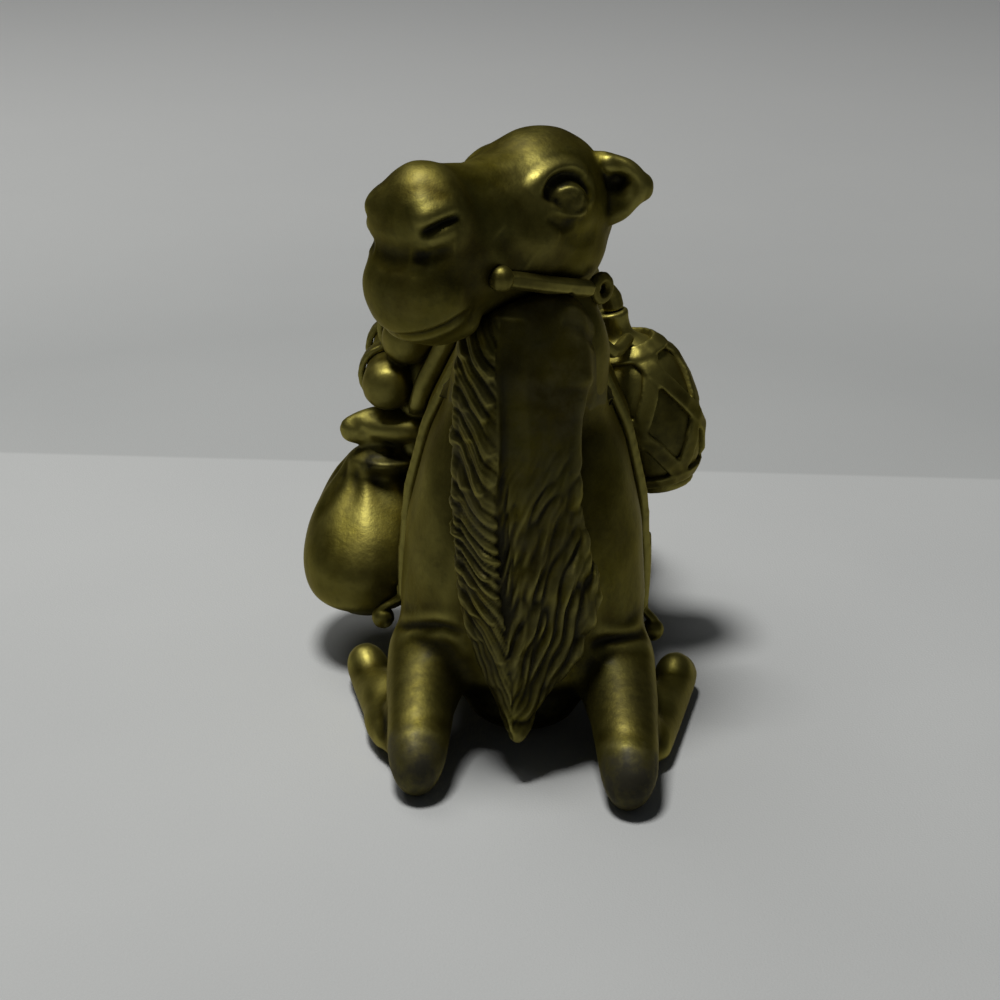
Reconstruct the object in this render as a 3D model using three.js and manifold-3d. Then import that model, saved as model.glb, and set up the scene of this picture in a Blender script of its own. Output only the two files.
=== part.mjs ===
// A kneeling pack camel: a brass ornament put together from hollow and solid castings on locating dowels.
// Millimetres, +Z up. The camel faces -Y, its own left is +X, and it rests on z = 0.
import * as THREE from "three";
import { mergeVertices } from "three/addons/utils/BufferGeometryUtils.js";
import Module from "manifold-3d";

const wasm = await Module();
wasm.setup();

// Fits shared by all joints
const clearance = 0.3; // between two castings that seat on each other
const dowel = { radius: 1.2, grip: 4.2, bossRadius: 2.8 }; // grip: reach into each casting
const sleeve = { radius: 5, wall: 1.3, reach: 3.2 }; // short tube that lines up trunk, neck and head

// Trunk: a barrel along Y with its widest line low down, and the hump on its back
const trunk = {
  chestY: -38,
  length: 86, // chest to rump
  endBulge: 6, // rounding past the chest and the rump
  axisZ: 22,
  shoulderHalfWidth: 20.8,
  loinHalfWidth: 16,
  withersRise: 44,
  loinRise: 39,
  bellyDrop: 17,
  wall: 2.4,
};
const alongTrunk = (share) => trunk.chestY + share * trunk.length;
const rumpY = alongTrunk(1);
const hump = { y: alongTrunk(0.675), z: 48, halfWidth: 12.5, halfLength: 20, rise: 25 };

// Neck, and the fringe of hair that hangs from throat to brisket
const neck = {
  rootZ: 44,
  topZ: 77,
  rootHalfWidth: 15,
  midHalfWidth: 12.4,
  topHalfWidth: 10,
  halfDepth: 10.2,
  wall: 2.6,
  midY: trunk.chestY + 11.5,
  drift: 0.9,
};
const fringe = {
  topZ: neck.topZ - 6,
  tipZ: 8,
  tipY: trunk.chestY - 15,
  frontY: trunk.chestY - 12.5,
  halfWidth: 11.3,
  depth: 9.5,
  ridgeSkew: 0.46, // of the half width, to the camel's right
};

// Head in its own frame: -Y along the nose, +Z up, origin in the middle of the skull
const head = {
  at: [0.6, trunk.chestY + 15, neck.topZ + 10],
  turn: -41, // degrees about Z, to the camel's right
  skullHalfWidth: 10.6,
  skullHalfLength: 12.6,
  skullRise: 12,
  muzzleReach: 25,
  muzzleHalfWidth: 8.5,
  noseHalfLength: 7.4,
  noseRise: 9,
  lipHalfLength: 7.8,
  jawDrop: 15.5,
  wall: 2.4,
};
const ear = { length: 10, halfHeight: 6.2, halfThickness: 2.5, wall: 1.3, back: 41, droop: 12 };
const eye = { radius: 2.9, y: -1.9, z: 2.6 };
const lowerJaw = { halfWidth: 6.4, depth: 3.2 };

// Folded legs; the pair of knees kneels a little off the centre line
const foreleg = {
  stanceShift: 1.2,
  stanceLead: 1.3, // how far the left knee is ahead of the middle
  elbowX: 15.4,
  elbowY: trunk.chestY + 5,
  elbowZ: 14.5,
  elbowRadius: 6.7,
  kneeX: 16.8,
  kneeY: trunk.chestY - 20,
  kneeRadius: 5.7,
};
const foreshin = { radius: 3.2, footX: 26.8, footY: trunk.chestY + 20.5, footRadius: 4 };
const hindleg = {
  hipY: rumpY - 12,
  hipZ: 28,
  hipRadius: 8.4,
  stifleX: 12.2,
  stifleY: rumpY - 27,
  stifleRadius: 6.8,
  hockY: rumpY - 3,
  hockRadius: 5,
};
const hindshin = { radius: 3.4, footX: 13.5, footY: rumpY - 39, footRadius: 4.2 };
const tail = { rootZ: 33.5, tipZ: 10.5, radius: 2.1, tuftRadius: 3.1 };

// Saddle cloth, the pad over it, and the tassels at the corners of the cloth
const blanket = {
  frontY: alongTrunk(0.244),
  rearY: alongTrunk(0.837),
  hemZ: 12,
  thickness: 1.6,
  cornerRadius: 4,
};
const pad = {
  frontY: alongTrunk(0.378),
  rearY: alongTrunk(0.814),
  hemZ: 43,
  thickness: 3.4,
  cornerRadius: 5,
  overTop: 6,
};
const tassel = { cordRadius: 0.9, ballRadius: 1.8, ballZ: 9.8, leftLength: 18, rightLength: 6 };

// Load: sack and bed rolls on the right flank, netted jug on the left
const sack = {
  y: alongTrunk(0.4535),
  z: 17.5,
  halfWidth: 11.2,
  bottomZ: 5.2,
  neckZ: 34.6,
  neckRadius: 5,
  sink: 3.2,
};
const ruffle = { halfLength: 7, radius: 3.3 };
const sackTie = { radius: 0.9 };
const roll = { radius: 4.4, frontY: alongTrunk(0.3895), rearY: alongTrunk(0.802), lowerZ: 48.4 };
const rollStrap = { width: 3, thickness: 0.9, frontY: alongTrunk(0.512), rearY: alongTrunk(0.686) };
const jug = {
  y: alongTrunk(0.488),
  baseZ: 30,
  radius: 8.8,
  height: 27,
  baseRadius: 5,
  neckRadius: 2.3,
  neckHeight: 4.5,
  lean: 13, // degrees, top towards the back
  sink: 6.2,
};
const net = { bands: 5, width: 2.3, thickness: 0.7, wind: 2 }; // wind: radians a band turns from foot to neck
const stopper = { radius: 1.9, height: 4, stemRadius: 1.1, stemLength: 2.4 };
const loadRope = { radius: 0.95, y: alongTrunk(0.349), fromAngle: 118, toAngle: 52 };

// Rope halter
const halter = {
  ropeRadius: 1,
  knobRadius: 1.9,
  ringRadius: 2.2,
  y: -17.5,
  z: -6.8,
  chinAngles: [-150, -75], // degrees: the chin rope goes under the jaw into the fringe
};

const vec = (p) => new THREE.Vector3(...p);
const unitX = new THREE.Vector3(1, 0, 0);
const plain = new THREE.Matrix4();
const mix = THREE.MathUtils.lerp;
const turn = THREE.MathUtils.degToRad;

function solid(geometry) {
  const shape = geometry.clone();
  for (const name of Object.keys(shape.attributes)) if (name !== "position") shape.deleteAttribute(name);
  const merged = mergeVertices(shape, 1e-4);
  const mesh = new wasm.Mesh({
    numProp: 3,
    vertProperties: new Float32Array(merged.attributes.position.array),
    triVerts: new Uint32Array(merged.index.array),
  });
  return new wasm.Manifold(mesh);
}

const union = (...solids) => solids.reduce((all, one) => all.add(one));
const cut = (body, ...tools) => tools.reduce((rest, tool) => rest.subtract(tool), body);

// A closed skin over rings of points, from the first pole to the last
function skin(rings, firstPole, lastPole, frame = plain) {
  const sides = rings[0].length;
  const points = [firstPole, ...rings.flat(), lastPole].map((p) => p.applyMatrix4(frame));
  const index = [];
  const at = (ring, k) => 1 + ring * sides + (k % sides);
  for (let k = 0; k < sides; k++) {
    index.push(0, at(0, k), at(0, k + 1));
    for (let r = 0; r + 1 < rings.length; r++) {
      index.push(at(r, k), at(r + 1, k), at(r + 1, k + 1), at(r, k), at(r + 1, k + 1), at(r, k + 1));
    }
    index.push(at(rings.length - 1, k), points.length - 1, at(rings.length - 1, k + 1));
  }
  const geometry = new THREE.BufferGeometry().setFromPoints(points);
  geometry.setIndex(index);
  return solid(geometry);
}

// A limb: rings along a smooth spine with rounded ends. A station is [x, y, z, half width, half depth].
const oval = (angle, width, depth) => [width * Math.cos(angle), depth * Math.sin(angle)];
const capScales = [0.38, 0.76];
function limb(stations, options = {}) {
  const { grow = 0, across = unitX, rings = 2, sides = 12, cap = 0.9, shape = oval, frame = plain } = options;
  const spine = new THREE.CatmullRomCurve3(stations.map((s) => vec(s.slice(0, 3))));
  const sizes = new THREE.CatmullRomCurve3(stations.map((s) => new THREE.Vector3(s[3], s[4], 0)));
  const steps = (stations.length - 1) * rings;
  const ring = (u, shift, scale) => {
    const along = spine.getTangent(u);
    const wide = across.clone().addScaledVector(along, -across.dot(along)).normalize();
    const deep = wide.clone().cross(along);
    const size = sizes.getPoint(u);
    const centre = spine.getPoint(u).addScaledVector(along, shift);
    return Array.from({ length: sides }, (_, k) => {
      const [a, b] = shape((2 * Math.PI * k) / sides, (size.x + grow) * scale, (size.y + grow) * scale);
      return centre.clone().addScaledVector(wide, a).addScaledVector(deep, b);
    });
  };
  const capLength = (u) => cap * Math.min(sizes.getPoint(u).x, sizes.getPoint(u).y) + grow;
  const pole = (u, sign) => spine.getPoint(u).addScaledVector(spine.getTangent(u), sign * capLength(u));
  const made = [];
  for (const s of capScales) made.push(ring(0, -capLength(0) * Math.sqrt(1 - s * s), s));
  for (let k = 0; k <= steps; k++) made.push(ring(k / steps, 0, 1));
  for (const s of capScales.toReversed()) made.push(ring(1, capLength(1) * Math.sqrt(1 - s * s), s));
  return skin(made, pole(0, -1), pole(1, 1), frame);
}

function ball(centre, radii, { grow = 0, sides = 14, rows = 9, frame = plain } = {}) {
  const geometry = new THREE.SphereGeometry(1, sides, rows).rotateX(Math.PI / 2);
  geometry.scale(...radii.map((r) => r + grow)).translate(...centre).applyMatrix4(frame);
  return solid(geometry);
}
const bead = (centre, radius, { grow = 0, frame = plain } = {}) =>
  ball(centre, [radius, radius, radius], { grow, frame, sides: 10, rows: 7 });

function rod(from, to, radius, sides = 8) {
  const [a, b] = [vec(from), vec(to)];
  const way = b.clone().sub(a).normalize();
  const aim = new THREE.Quaternion().setFromUnitVectors(new THREE.Vector3(0, 1, 0), way);
  const geometry = new THREE.CylinderGeometry(radius, radius, a.distanceTo(b), sides).applyQuaternion(aim);
  return solid(geometry.translate(...a.add(b).multiplyScalar(0.5).toArray()));
}

function block(low, high) {
  const size = high.map((h, i) => h - low[i]);
  return solid(new THREE.BoxGeometry(...size).translate(...low.map((l, i) => l + size[i] / 2)));
}

// A round cord through the given points
function cord(points, radius, { steps = 4, sides = 6, closed = false } = {}) {
  const path = new THREE.CatmullRomCurve3(points.map(vec), closed);
  const section = new THREE.Shape().absarc(0, 0, radius, 0, 2 * Math.PI);
  const count = steps * points.length;
  const sweep = { extrudePath: path, steps: count, curveSegments: sides / 2, bevelEnabled: false };
  return solid(new THREE.ExtrudeGeometry(section, sweep));
}

// A turned piece: profile points are [radius, height] from the foot to the top, both on the axis
function turned(profile, { sides = 16, frame = plain } = {}) {
  const points = profile.map(([radius, height]) => new THREE.Vector2(radius, height));
  return solid(new THREE.LatheGeometry(points, sides).rotateX(Math.PI / 2).applyMatrix4(frame));
}

// A flat outline in the YZ plane, carried right across the body
function acrossBody(outline, halfWidth) {
  const sweep = { depth: 2 * halfWidth, curveSegments: 5, bevelEnabled: false };
  const geometry = new THREE.ExtrudeGeometry(outline, sweep);
  return solid(geometry.rotateX(Math.PI / 2).rotateZ(Math.PI / 2).translate(-halfWidth, 0, 0));
}

// Trunk sections: share of the length, then width, rise and drop against the full section
const trunkRows = [
  [0, 0.78, 0.6, 0.8],
  [0.07, 0.94, 0.81, 0.94],
  [0.15, 1, 0.95, 1],
  [0.28, 0.99, 1, 1],
  [0.5, 0.98, 1, 1],
  [0.7, 0.94, 0.98, 1],
  [0.85, 0.87, 0.86, 0.97],
  [0.95, 0.72, 0.64, 0.85],
  [1, 0.52, 0.42, 0.62],
].map(([share, wide, rise, drop]) => ({
  y: mix(trunk.chestY, rumpY, share),
  width: wide * mix(trunk.shoulderHalfWidth, trunk.loinHalfWidth, share),
  rise: rise * mix(trunk.withersRise, trunk.loinRise, share),
  drop: drop * trunk.bellyDrop,
}));
const trunkCurve = (key) =>
  new THREE.CatmullRomCurve3(trunkRows.map((row) => new THREE.Vector3(row.y, row[key], 0)));
const trunkCurves = { width: trunkCurve("width"), rise: trunkCurve("rise"), drop: trunkCurve("drop") };
const trunkSize = (key, u) => trunkCurves[key].getPoint(u).y;
const bellySquareness = 3.2;

function barrel(grow = 0, { sides = 20, between = 2 } = {}) {
  const steps = (trunkRows.length - 1) * between;
  const bulge = trunk.endBulge + grow;
  const ring = (u, shift, scale) =>
    Array.from({ length: sides }, (_, k) => {
      const c = Math.cos((2 * Math.PI * k) / sides);
      const s = Math.sin((2 * Math.PI * k) / sides);
      const power = s < 0 ? bellySquareness : 2;
      const pull = (Math.abs(c) ** power + Math.abs(s) ** power) ** (-1 / power);
      const x = (trunkSize("width", u) + grow) * scale * c * pull;
      const z = (trunkSize(s < 0 ? "drop" : "rise", u) + grow) * scale * s * pull;
      return new THREE.Vector3(x, trunkCurves.width.getPoint(u).x + shift, trunk.axisZ + z);
    });
  const made = [];
  for (const s of capScales) made.push(ring(0, -bulge * Math.sqrt(1 - s * s), s));
  for (let k = 0; k <= steps; k++) made.push(ring(k / steps, 0, 1));
  for (const s of capScales.toReversed()) made.push(ring(1, bulge * Math.sqrt(1 - s * s), s));
  const pole = (y) => new THREE.Vector3(0, y, trunk.axisZ);
  return skin(made, pole(trunk.chestY - bulge), pole(rumpY + bulge));
}

// How far along its rows the trunk reaches a given Y
function trunkPlace(y) {
  const last = trunkRows.length - 1;
  const next = trunkRows.findIndex((row) => row.y > y);
  const i = next < 0 ? last - 1 : Math.max(next - 1, 0);
  const u = (i + (y - trunkRows[i].y) / (trunkRows[i + 1].y - trunkRows[i].y)) / last;
  return THREE.MathUtils.clamp(u, 0, 1);
}

// Half width of the trunk, grown by a cover, at a given place on its flank
function flankAt(y, z, grow = 0) {
  const u = trunkPlace(y);
  const up = z > trunk.axisZ;
  const power = up ? 2 : bellySquareness;
  const share = Math.min(Math.abs(z - trunk.axisZ) / (trunkSize(up ? "rise" : "drop", u) + grow), 1);
  return (trunkSize("width", u) + grow) * (1 - share ** power) ** (1 / power);
}

// Where a straight line from inside the trunk comes out of it
function leavesTrunk(from, to) {
  const past = (y) => Math.max(trunk.chestY - y, y - rumpY, 0) / trunk.endBulge;
  const inside = (p) => {
    const scale = Math.sqrt(Math.max(1 - past(p.y) ** 2, 1e-6));
    return Math.abs(p.x) < scale * flankAt(p.y, trunk.axisZ + (p.z - trunk.axisZ) / scale);
  };
  const [a, b] = [vec(from), vec(to)];
  let [near, far] = [0, 1];
  for (let k = 0; k < 30; k++) {
    const half = (near + far) / 2;
    if (inside(a.clone().lerp(b, half))) near = half;
    else far = half;
  }
  const at = a.clone().lerp(b, near);
  const way = b.clone().sub(a).normalize();
  return (distance) => at.clone().addScaledVector(way, distance).toArray();
}

const humpForm = (grow = 0) =>
  ball([0, hump.y, hump.z], [hump.halfWidth, hump.halfLength, hump.rise], { grow, sides: 16, rows: 10 });
const bodyForm = (grow = 0) => barrel(grow).add(humpForm(grow));

// Neck
const neckRow = (share, x, y, halfWidth, deep) => {
  return [x, y, mix(neck.rootZ, neck.topZ, share), halfWidth, deep * neck.halfDepth];
};
const neckLine = [
  neckRow(0, 0, neck.midY + 10.5, neck.rootHalfWidth, 1.2),
  neckRow(0.333, 0, neck.midY + 2.5, neck.midHalfWidth * 1.08, 1.1),
  neckRow(0.636, neck.drift, neck.midY, neck.midHalfWidth, 1),
  neckRow(0.818, neck.drift, neck.midY + 1, neck.topHalfWidth, 0.843),
  neckRow(1, neck.drift, neck.midY + 3, neck.topHalfWidth * 0.75, 0.608),
];
const neckForm = (grow = 0) => limb(neckLine, { grow, sides: 18 });
const neckCore = limb(neckLine.slice(0, 3), { grow: -neck.wall });

// The fringe is a keel: oval behind, drawn out to a ridge in front
function keel(angle, width, depth) {
  const c = Math.cos(angle);
  const s = Math.sin(angle);
  if (s > 0) return [width * c, depth * 0.6 * s];
  const front = 1 - Math.abs(c) ** 1.25;
  return [width * (c - fringe.ridgeSkew * front), -depth * front];
}
// A row of the fringe: place down its length, then sideways, backward, width and depth against the full ones
const fringeRow = (share, aside, back, wide, deep) => {
  const depth = fringe.depth * deep;
  const y = mix(fringe.frontY, fringe.tipY, Math.max(-back, 0)) + Math.max(back, 0) * fringe.depth + depth;
  const z = mix(fringe.topZ, fringe.tipZ, share);
  return [aside * fringe.halfWidth, y, z, fringe.halfWidth * wide, depth];
};
const fringeLine = [
  fringeRow(0, -0.03, 0.84, 0.95, 0.8),
  fringeRow(0.2, -0.02, 0.32, 1.05, 1),
  fringeRow(0.42, 0.04, 0.05, 1.03, 1),
  fringeRow(0.62, 0.14, -0.2, 1.05, 0.95),
  fringeRow(0.8, 0.12, -0.64, 0.8, 0.75),
  fringeRow(0.92, 0.04, -1, 0.4, 0.45),
  fringeRow(1, 0, -1, 0.12, 0.14),
];
const fringeForm = (grow = 0) => limb(fringeLine, { grow, sides: 18, shape: keel });

// Head
const headFrame = new THREE.Matrix4().makeRotationZ(turn(head.turn)).setPosition(...head.at);
const onHead = (p) => vec(p).applyMatrix4(headFrame).toArray();
const headRow = (along, down, halfWidth, deep) => {
  return [0, -along * head.muzzleReach, -down * head.skullRise, halfWidth, deep * head.skullRise];
};
const headRows = [
  headRow(-0.24, 0.167, head.skullHalfWidth * 0.868, 0.875),
  headRow(0.04, 0.183, head.skullHalfWidth * 0.972, 1.05),
  headRow(0.32, 0.25, head.skullHalfWidth * 0.953, 1.033),
  headRow(0.6, 0.267, head.muzzleHalfWidth * 1.024, 1),
  headRow(0.84, 0.25, head.muzzleHalfWidth, 1.067),
  headRow(1.02, 0.25, head.muzzleHalfWidth * 0.953, 1),
];
function headForm(grow = 0) {
  const inFrame = { grow, frame: headFrame };
  const { skullHalfWidth, skullHalfLength, skullRise, muzzleReach, noseRise, jawDrop } = head;
  const noseHalfWidth = head.muzzleHalfWidth * 1.024;
  const nose = [noseHalfWidth, head.noseHalfLength, noseRise];
  const lip = [noseHalfWidth, head.lipHalfLength, jawDrop * 0.53];
  const cheeks = [skullHalfWidth * 0.953, skullHalfLength * 0.952, jawDrop * 0.6];
  return union(
    ball([0, skullHalfLength * 0.04, 0], [skullHalfWidth, skullHalfLength, skullRise], inFrame),
    limb(headRows, { ...inFrame, sides: 16, cap: 0.85 }),
    ball([0, -muzzleReach, noseRise * 0.2], nose, inFrame),
    ball([0, -muzzleReach * 1.035, -jawDrop * 0.548], lip, inFrame),
    ball([0, skullHalfLength * 0.08, -jawDrop * 0.403], cheeks, inFrame),
  );
}
const headCore = limb(headRows.slice(0, 5), { grow: -head.wall - 0.4, frame: headFrame, rings: 1, cap: 0.6 });

// Half width of the head at a given length along the nose, at the height of the halter
const cheekWidth = new THREE.CatmullRomCurve3(headRows.map((row) => new THREE.Vector3(row[3], row[1], 0)));
function cheekAt(y) {
  const last = headRows.length - 1;
  const i = THREE.MathUtils.clamp(headRows.findIndex((row) => row[1] < y) - 1, 0, last - 1);
  return cheekWidth.getPoint((i + (y - headRows[i][1]) / (headRows[i + 1][1] - headRows[i][1])) / last).x;
}

// Legs
const sides = { left: 1, right: -1 };
const legFlat = 0.8; // depth filed off under each leg to make it stand
const kneeAt = (side) => {
  const x = side * foreleg.kneeX + foreleg.stanceShift;
  return [x, foreleg.kneeY - side * foreleg.stanceLead, foreleg.kneeRadius - legFlat];
};
const elbowAt = (side) => [side * foreleg.elbowX, foreleg.elbowY, foreleg.elbowZ];
const forelegForm = (side, grow = 0) => {
  const middle = vec(elbowAt(side)).lerp(vec(kneeAt(side)), 0.5).toArray();
  const { elbowRadius, kneeRadius } = foreleg;
  const line = [
    [...elbowAt(side), elbowRadius, elbowRadius],
    [...middle, mix(elbowRadius, kneeRadius, 0.7), mix(elbowRadius, kneeRadius, 0.7)],
    [...kneeAt(side), kneeRadius, kneeRadius],
  ];
  return limb(line, { grow });
};
const foreshinForm = (side) => {
  const [kneeX, kneeY] = kneeAt(side);
  const foot = [side * foreshin.footX, foreshin.footY];
  const { radius, footRadius } = foreshin;
  const line = [
    [kneeX + side * 1.5, kneeY + 4, radius - 0.4, radius, radius],
    [mix(kneeX, foot[0], 0.6), mix(kneeY, foot[1], 0.5), radius - 0.2, radius, radius],
    [...foot, footRadius - 0.5, footRadius, footRadius],
  ];
  return limb(line);
};
const hipAt = (side) => [side * (hindleg.stifleX - 1.8), hindleg.hipY, hindleg.hipZ];
const stifleAt = (side) => [side * hindleg.stifleX, hindleg.stifleY, hindleg.stifleRadius + 5.5];
const hockAt = (side) => [side * hindleg.stifleX, hindleg.hockY, hindleg.hockRadius + 3];
const thighForm = (side, grow = 0) => {
  const { hipRadius, stifleRadius } = hindleg;
  const line = [
    [...hipAt(side), hipRadius, hipRadius],
    [...stifleAt(side), stifleRadius, stifleRadius],
  ];
  return limb(line, { grow });
};
const hindlegForm = (side, grow = 0) => {
  const { hockRadius, stifleRadius } = hindleg;
  const shank = [
    [...stifleAt(side), stifleRadius - 1, stifleRadius - 1],
    [...hockAt(side), hockRadius, hockRadius],
  ];
  return thighForm(side, grow).add(limb(shank, { grow }));
};
const hindshinForm = (side) => {
  const [x, y] = hockAt(side);
  const { radius, footX, footY, footRadius } = hindshin;
  return limb([
    [x + side, y, radius - 0.5, radius, radius],
    [mix(x, side * footX, 0.6) + side, mix(y, footY, 0.5), radius - 0.5, radius, radius],
    [side * footX, footY, footRadius - 0.5, footRadius, footRadius],
  ]);
};
const tailRow = (share, x, back, radius) => [
  x,
  rumpY + trunk.endBulge + back,
  mix(tail.rootZ, tail.tipZ, share),
  radius,
  radius,
];
const tailForm = limb([
  tailRow(0, 0, -trunk.endBulge - 1, tail.radius),
  tailRow(0.42, 0.6, 0.4, tail.radius),
  tailRow(0.75, 1.6, 0.6, tail.tuftRadius),
  tailRow(1, 2.2, -0.4, tail.radius - 0.6),
]);

// Cloths: each is a skin of even thickness over the back, kept inside its outline
const beyond = 2 * trunk.length; // past every casting, for the blocks that part them
const covered = (grow) => union(bodyForm(grow), thighForm(1, grow), thighForm(-1, grow));
const clothIn = clearance;
const clothOut = clothIn + blanket.thickness;
const padIn = clothOut + clearance;
const padOut = padIn + pad.thickness;
function hangingOutline({ frontY, rearY, hemZ, cornerRadius }) {
  const top = hump.z + hump.rise + 20;
  const outline = new THREE.Shape();
  outline.moveTo(frontY, top);
  outline.lineTo(frontY, hemZ + cornerRadius);
  outline.absarc(frontY + cornerRadius, hemZ + cornerRadius, cornerRadius, Math.PI, 1.5 * Math.PI);
  outline.lineTo(rearY - cornerRadius, hemZ);
  outline.absarc(rearY - cornerRadius, hemZ + cornerRadius, cornerRadius, 1.5 * Math.PI, 2 * Math.PI);
  outline.lineTo(rearY, top);
  return acrossBody(outline, beyond);
}

// Ground, and a line of dowel with the hole it sits in
const underground = block([-beyond, -beyond, -beyond], [beyond, beyond, 0]);
const pin = (at) => rod(at(-dowel.grip), at(dowel.grip), dowel.radius);
const pinHole = (at) => {
  const reach = dowel.grip + clearance;
  return rod(at(-reach), at(reach), dowel.radius + clearance);
};
const boss = (at) => rod(at(-dowel.grip - 1.6), at(1), dowel.bossRadius);
const lineUp = (at, way) => {
  const [a, d] = [vec(at), vec(way).normalize()];
  return (distance) => a.clone().addScaledVector(d, distance).toArray();
};

// Load on the right flank
const sackX = -(flankAt(sack.y, sack.z, clothOut) + sack.halfWidth - sack.sink);
const sackLean = sack.halfWidth * 0.3; // how far its neck leans in
const sackForm = (grow = 0) => {
  const { y, z, halfWidth, bottomZ, neckZ, neckRadius } = sack;
  return limb(
    [
      [sackX, y, mix(bottomZ, z, 0.24), halfWidth * 0.56, halfWidth * 0.56],
      [sackX, y, mix(bottomZ, z, 0.52), halfWidth * 0.87, halfWidth * 0.87],
      [sackX, y, z, halfWidth, halfWidth],
      [sackX + halfWidth * 0.08, y, mix(z, neckZ, 0.4), halfWidth * 0.88, halfWidth * 0.9],
      [sackX + halfWidth * 0.18, y, mix(z, neckZ, 0.74), halfWidth * 0.66, halfWidth * 0.66],
      [sackX + sackLean, y, neckZ, neckRadius, neckRadius],
    ],
    { grow, rings: 2, sides: 18, cap: 0.55 },
  );
};
const ruffleZ = sack.neckZ + sack.neckRadius * 0.6 + clearance + ruffle.radius - 0.9;
const ruffleForm = (grow = 0) => {
  const x = sackX + sackLean + 0.8;
  const { halfLength, radius } = ruffle;
  return limb(
    [
      [x - halfLength, sack.y - 0.6, ruffleZ - 0.6, radius * 0.6, radius * 0.7],
      [x - halfLength * 0.4, sack.y, ruffleZ - 0.1, radius, radius],
      [x + halfLength * 0.5, sack.y, ruffleZ + 0.2, radius, radius],
      [x + halfLength, sack.y - 0.4, ruffleZ + 0.4, radius * 0.7, radius * 0.7],
    ],
    { grow, across: new THREE.Vector3(0, 1, 0), rings: 2, sides: 12 },
  );
};
const tieLoop = (x, z, radius) =>
  Array.from({ length: 10 }, (_, k) => [
    x + radius * Math.cos((k * Math.PI) / 5),
    sack.y + radius * Math.sin((k * Math.PI) / 5),
    z,
  ]);
const sackTieForm = () => {
  const loop = tieLoop(sackX + sackLean, sack.neckZ, sack.neckRadius + sackTie.radius);
  return cord(loop, sackTie.radius, { closed: true, steps: 2 });
};

// Bed rolls: the lower one lies against the pad, the upper one rests on it
const rollSpan = roll.radius + clearance / 2;
const rollX = (z) => -(flankAt(roll.frontY, z, padOut) + clearance + roll.radius - 0.6);
const lowerRoll = [rollX(roll.lowerZ), roll.lowerZ];
const upperRoll = [lowerRoll[0] + 3.4, roll.lowerZ + 2 * Math.sqrt(rollSpan ** 2 - 1.7 ** 2)];
const rollForm = ([x, z], grow = 0) => {
  const { radius, frontY, rearY } = roll;
  const line = [
    [x, frontY + radius * 0.8, z, radius, radius],
    [x, mix(frontY, rearY, 0.35), z, radius * 0.97, radius * 0.97],
    [x, mix(frontY, rearY, 0.65), z, radius * 0.97, radius * 0.97],
    [x, rearY - radius * 0.8, z, radius, radius],
  ];
  return limb(line, { grow, rings: 2, cap: 0.8 });
};
// A strap that hugs both rolls: two rings that run into each other
function strapForm(y) {
  const drum = ([x, z], radius, half) => rod([x, y - half, z], [x, y + half, z], radius, 20);
  const inner = roll.radius + clearance;
  const outer = inner + rollStrap.thickness;
  const rings = [lowerRoll, upperRoll].map((at) => drum(at, outer, rollStrap.width / 2));
  const holes = [lowerRoll, upperRoll].map((at) => drum(at, inner, rollStrap.width));
  return cut(union(...rings), ...holes);
}

// Jug on the left flank, its top leaning in
const jugMidZ = jug.baseZ + jug.height / 2; // height of its widest line
const jugLean = turn(-jug.lean);
const jugMidX = flankAt(jug.y, jugMidZ, clothOut) + jug.radius - jug.sink;
const jugHalf = jug.height / 2;
const jugFoot = [jugMidX - jugHalf * Math.sin(jugLean), jug.y, jugMidZ - jugHalf * Math.cos(jugLean)];
const jugFrame = new THREE.Matrix4().makeRotationY(jugLean).setPosition(...jugFoot);
const onJug = (p) => vec(p).applyMatrix4(jugFrame).toArray();
const jugTop = jug.height + jug.neckHeight;
const jugProfile = [
  [jug.baseRadius, 0],
  [jug.baseRadius, 1.2],
  [jug.baseRadius - 0.4, 1.7],
  [jug.radius * 0.78, jug.height * 0.17],
  [jug.radius * 0.96, jug.height * 0.34],
  [jug.radius, jug.height * 0.48],
  [jug.radius * 0.97, jug.height * 0.64],
  [jug.radius * 0.84, jug.height * 0.81],
  [jug.radius * 0.58, jug.height * 0.93],
  [jug.neckRadius, jug.height],
  [jug.neckRadius, jugTop - 1],
  [jug.neckRadius + 0.5, jugTop - 0.7],
  [jug.neckRadius + 0.5, jugTop],
];
const jugForm = (grow = 0) => {
  const wall = jugProfile.map(([radius, height]) => [radius + grow, height === 0 ? -grow : height]);
  return turned([[0, -grow], ...wall, [0, jugTop + grow]], { frame: jugFrame });
};

// The net: two families of bands that wind up the jug and cross, held by a collar at each end
const jugCurve = new THREE.SplineCurve(jugProfile.slice(2, 10).map(([r, h]) => new THREE.Vector2(r, h)));
const netEnds = [0.07, 0.84];
function offJug(u, out, angle) {
  const p = jugCurve.getPoint(u);
  const slope = jugCurve.getTangent(u);
  const radius = p.x + out * slope.y;
  return new THREE.Vector3(radius * Math.cos(angle), radius * Math.sin(angle), p.y - out * slope.x);
}
function netBand(startAngle, hand) {
  const steps = 7;
  const at = (u, out) => offJug(u, out, startAngle + hand * u * net.wind);
  const rings = Array.from({ length: steps + 1 }, (_, k) => {
    const u = mix(...netEnds, k / steps);
    const along = at(u + 0.02, 0).sub(at(u - 0.02, 0)).normalize();
    const over = at(u, 1).sub(at(u, 0)).cross(along).setLength(net.width / 2);
    const lift = hand > 0 ? 0.1 : 0.25; // one family passes over the other
    const [low, high] = [at(u, clearance + lift), at(u, clearance + net.thickness + lift)];
    return [high.clone().sub(over), high.clone().add(over), low.clone().add(over), low.clone().sub(over)];
  });
  const middle = (ring) => ring.reduce((sum, p) => sum.add(p), new THREE.Vector3()).multiplyScalar(0.25);
  return skin(rings, middle(rings[0]), middle(rings[steps]), jugFrame);
}
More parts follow.
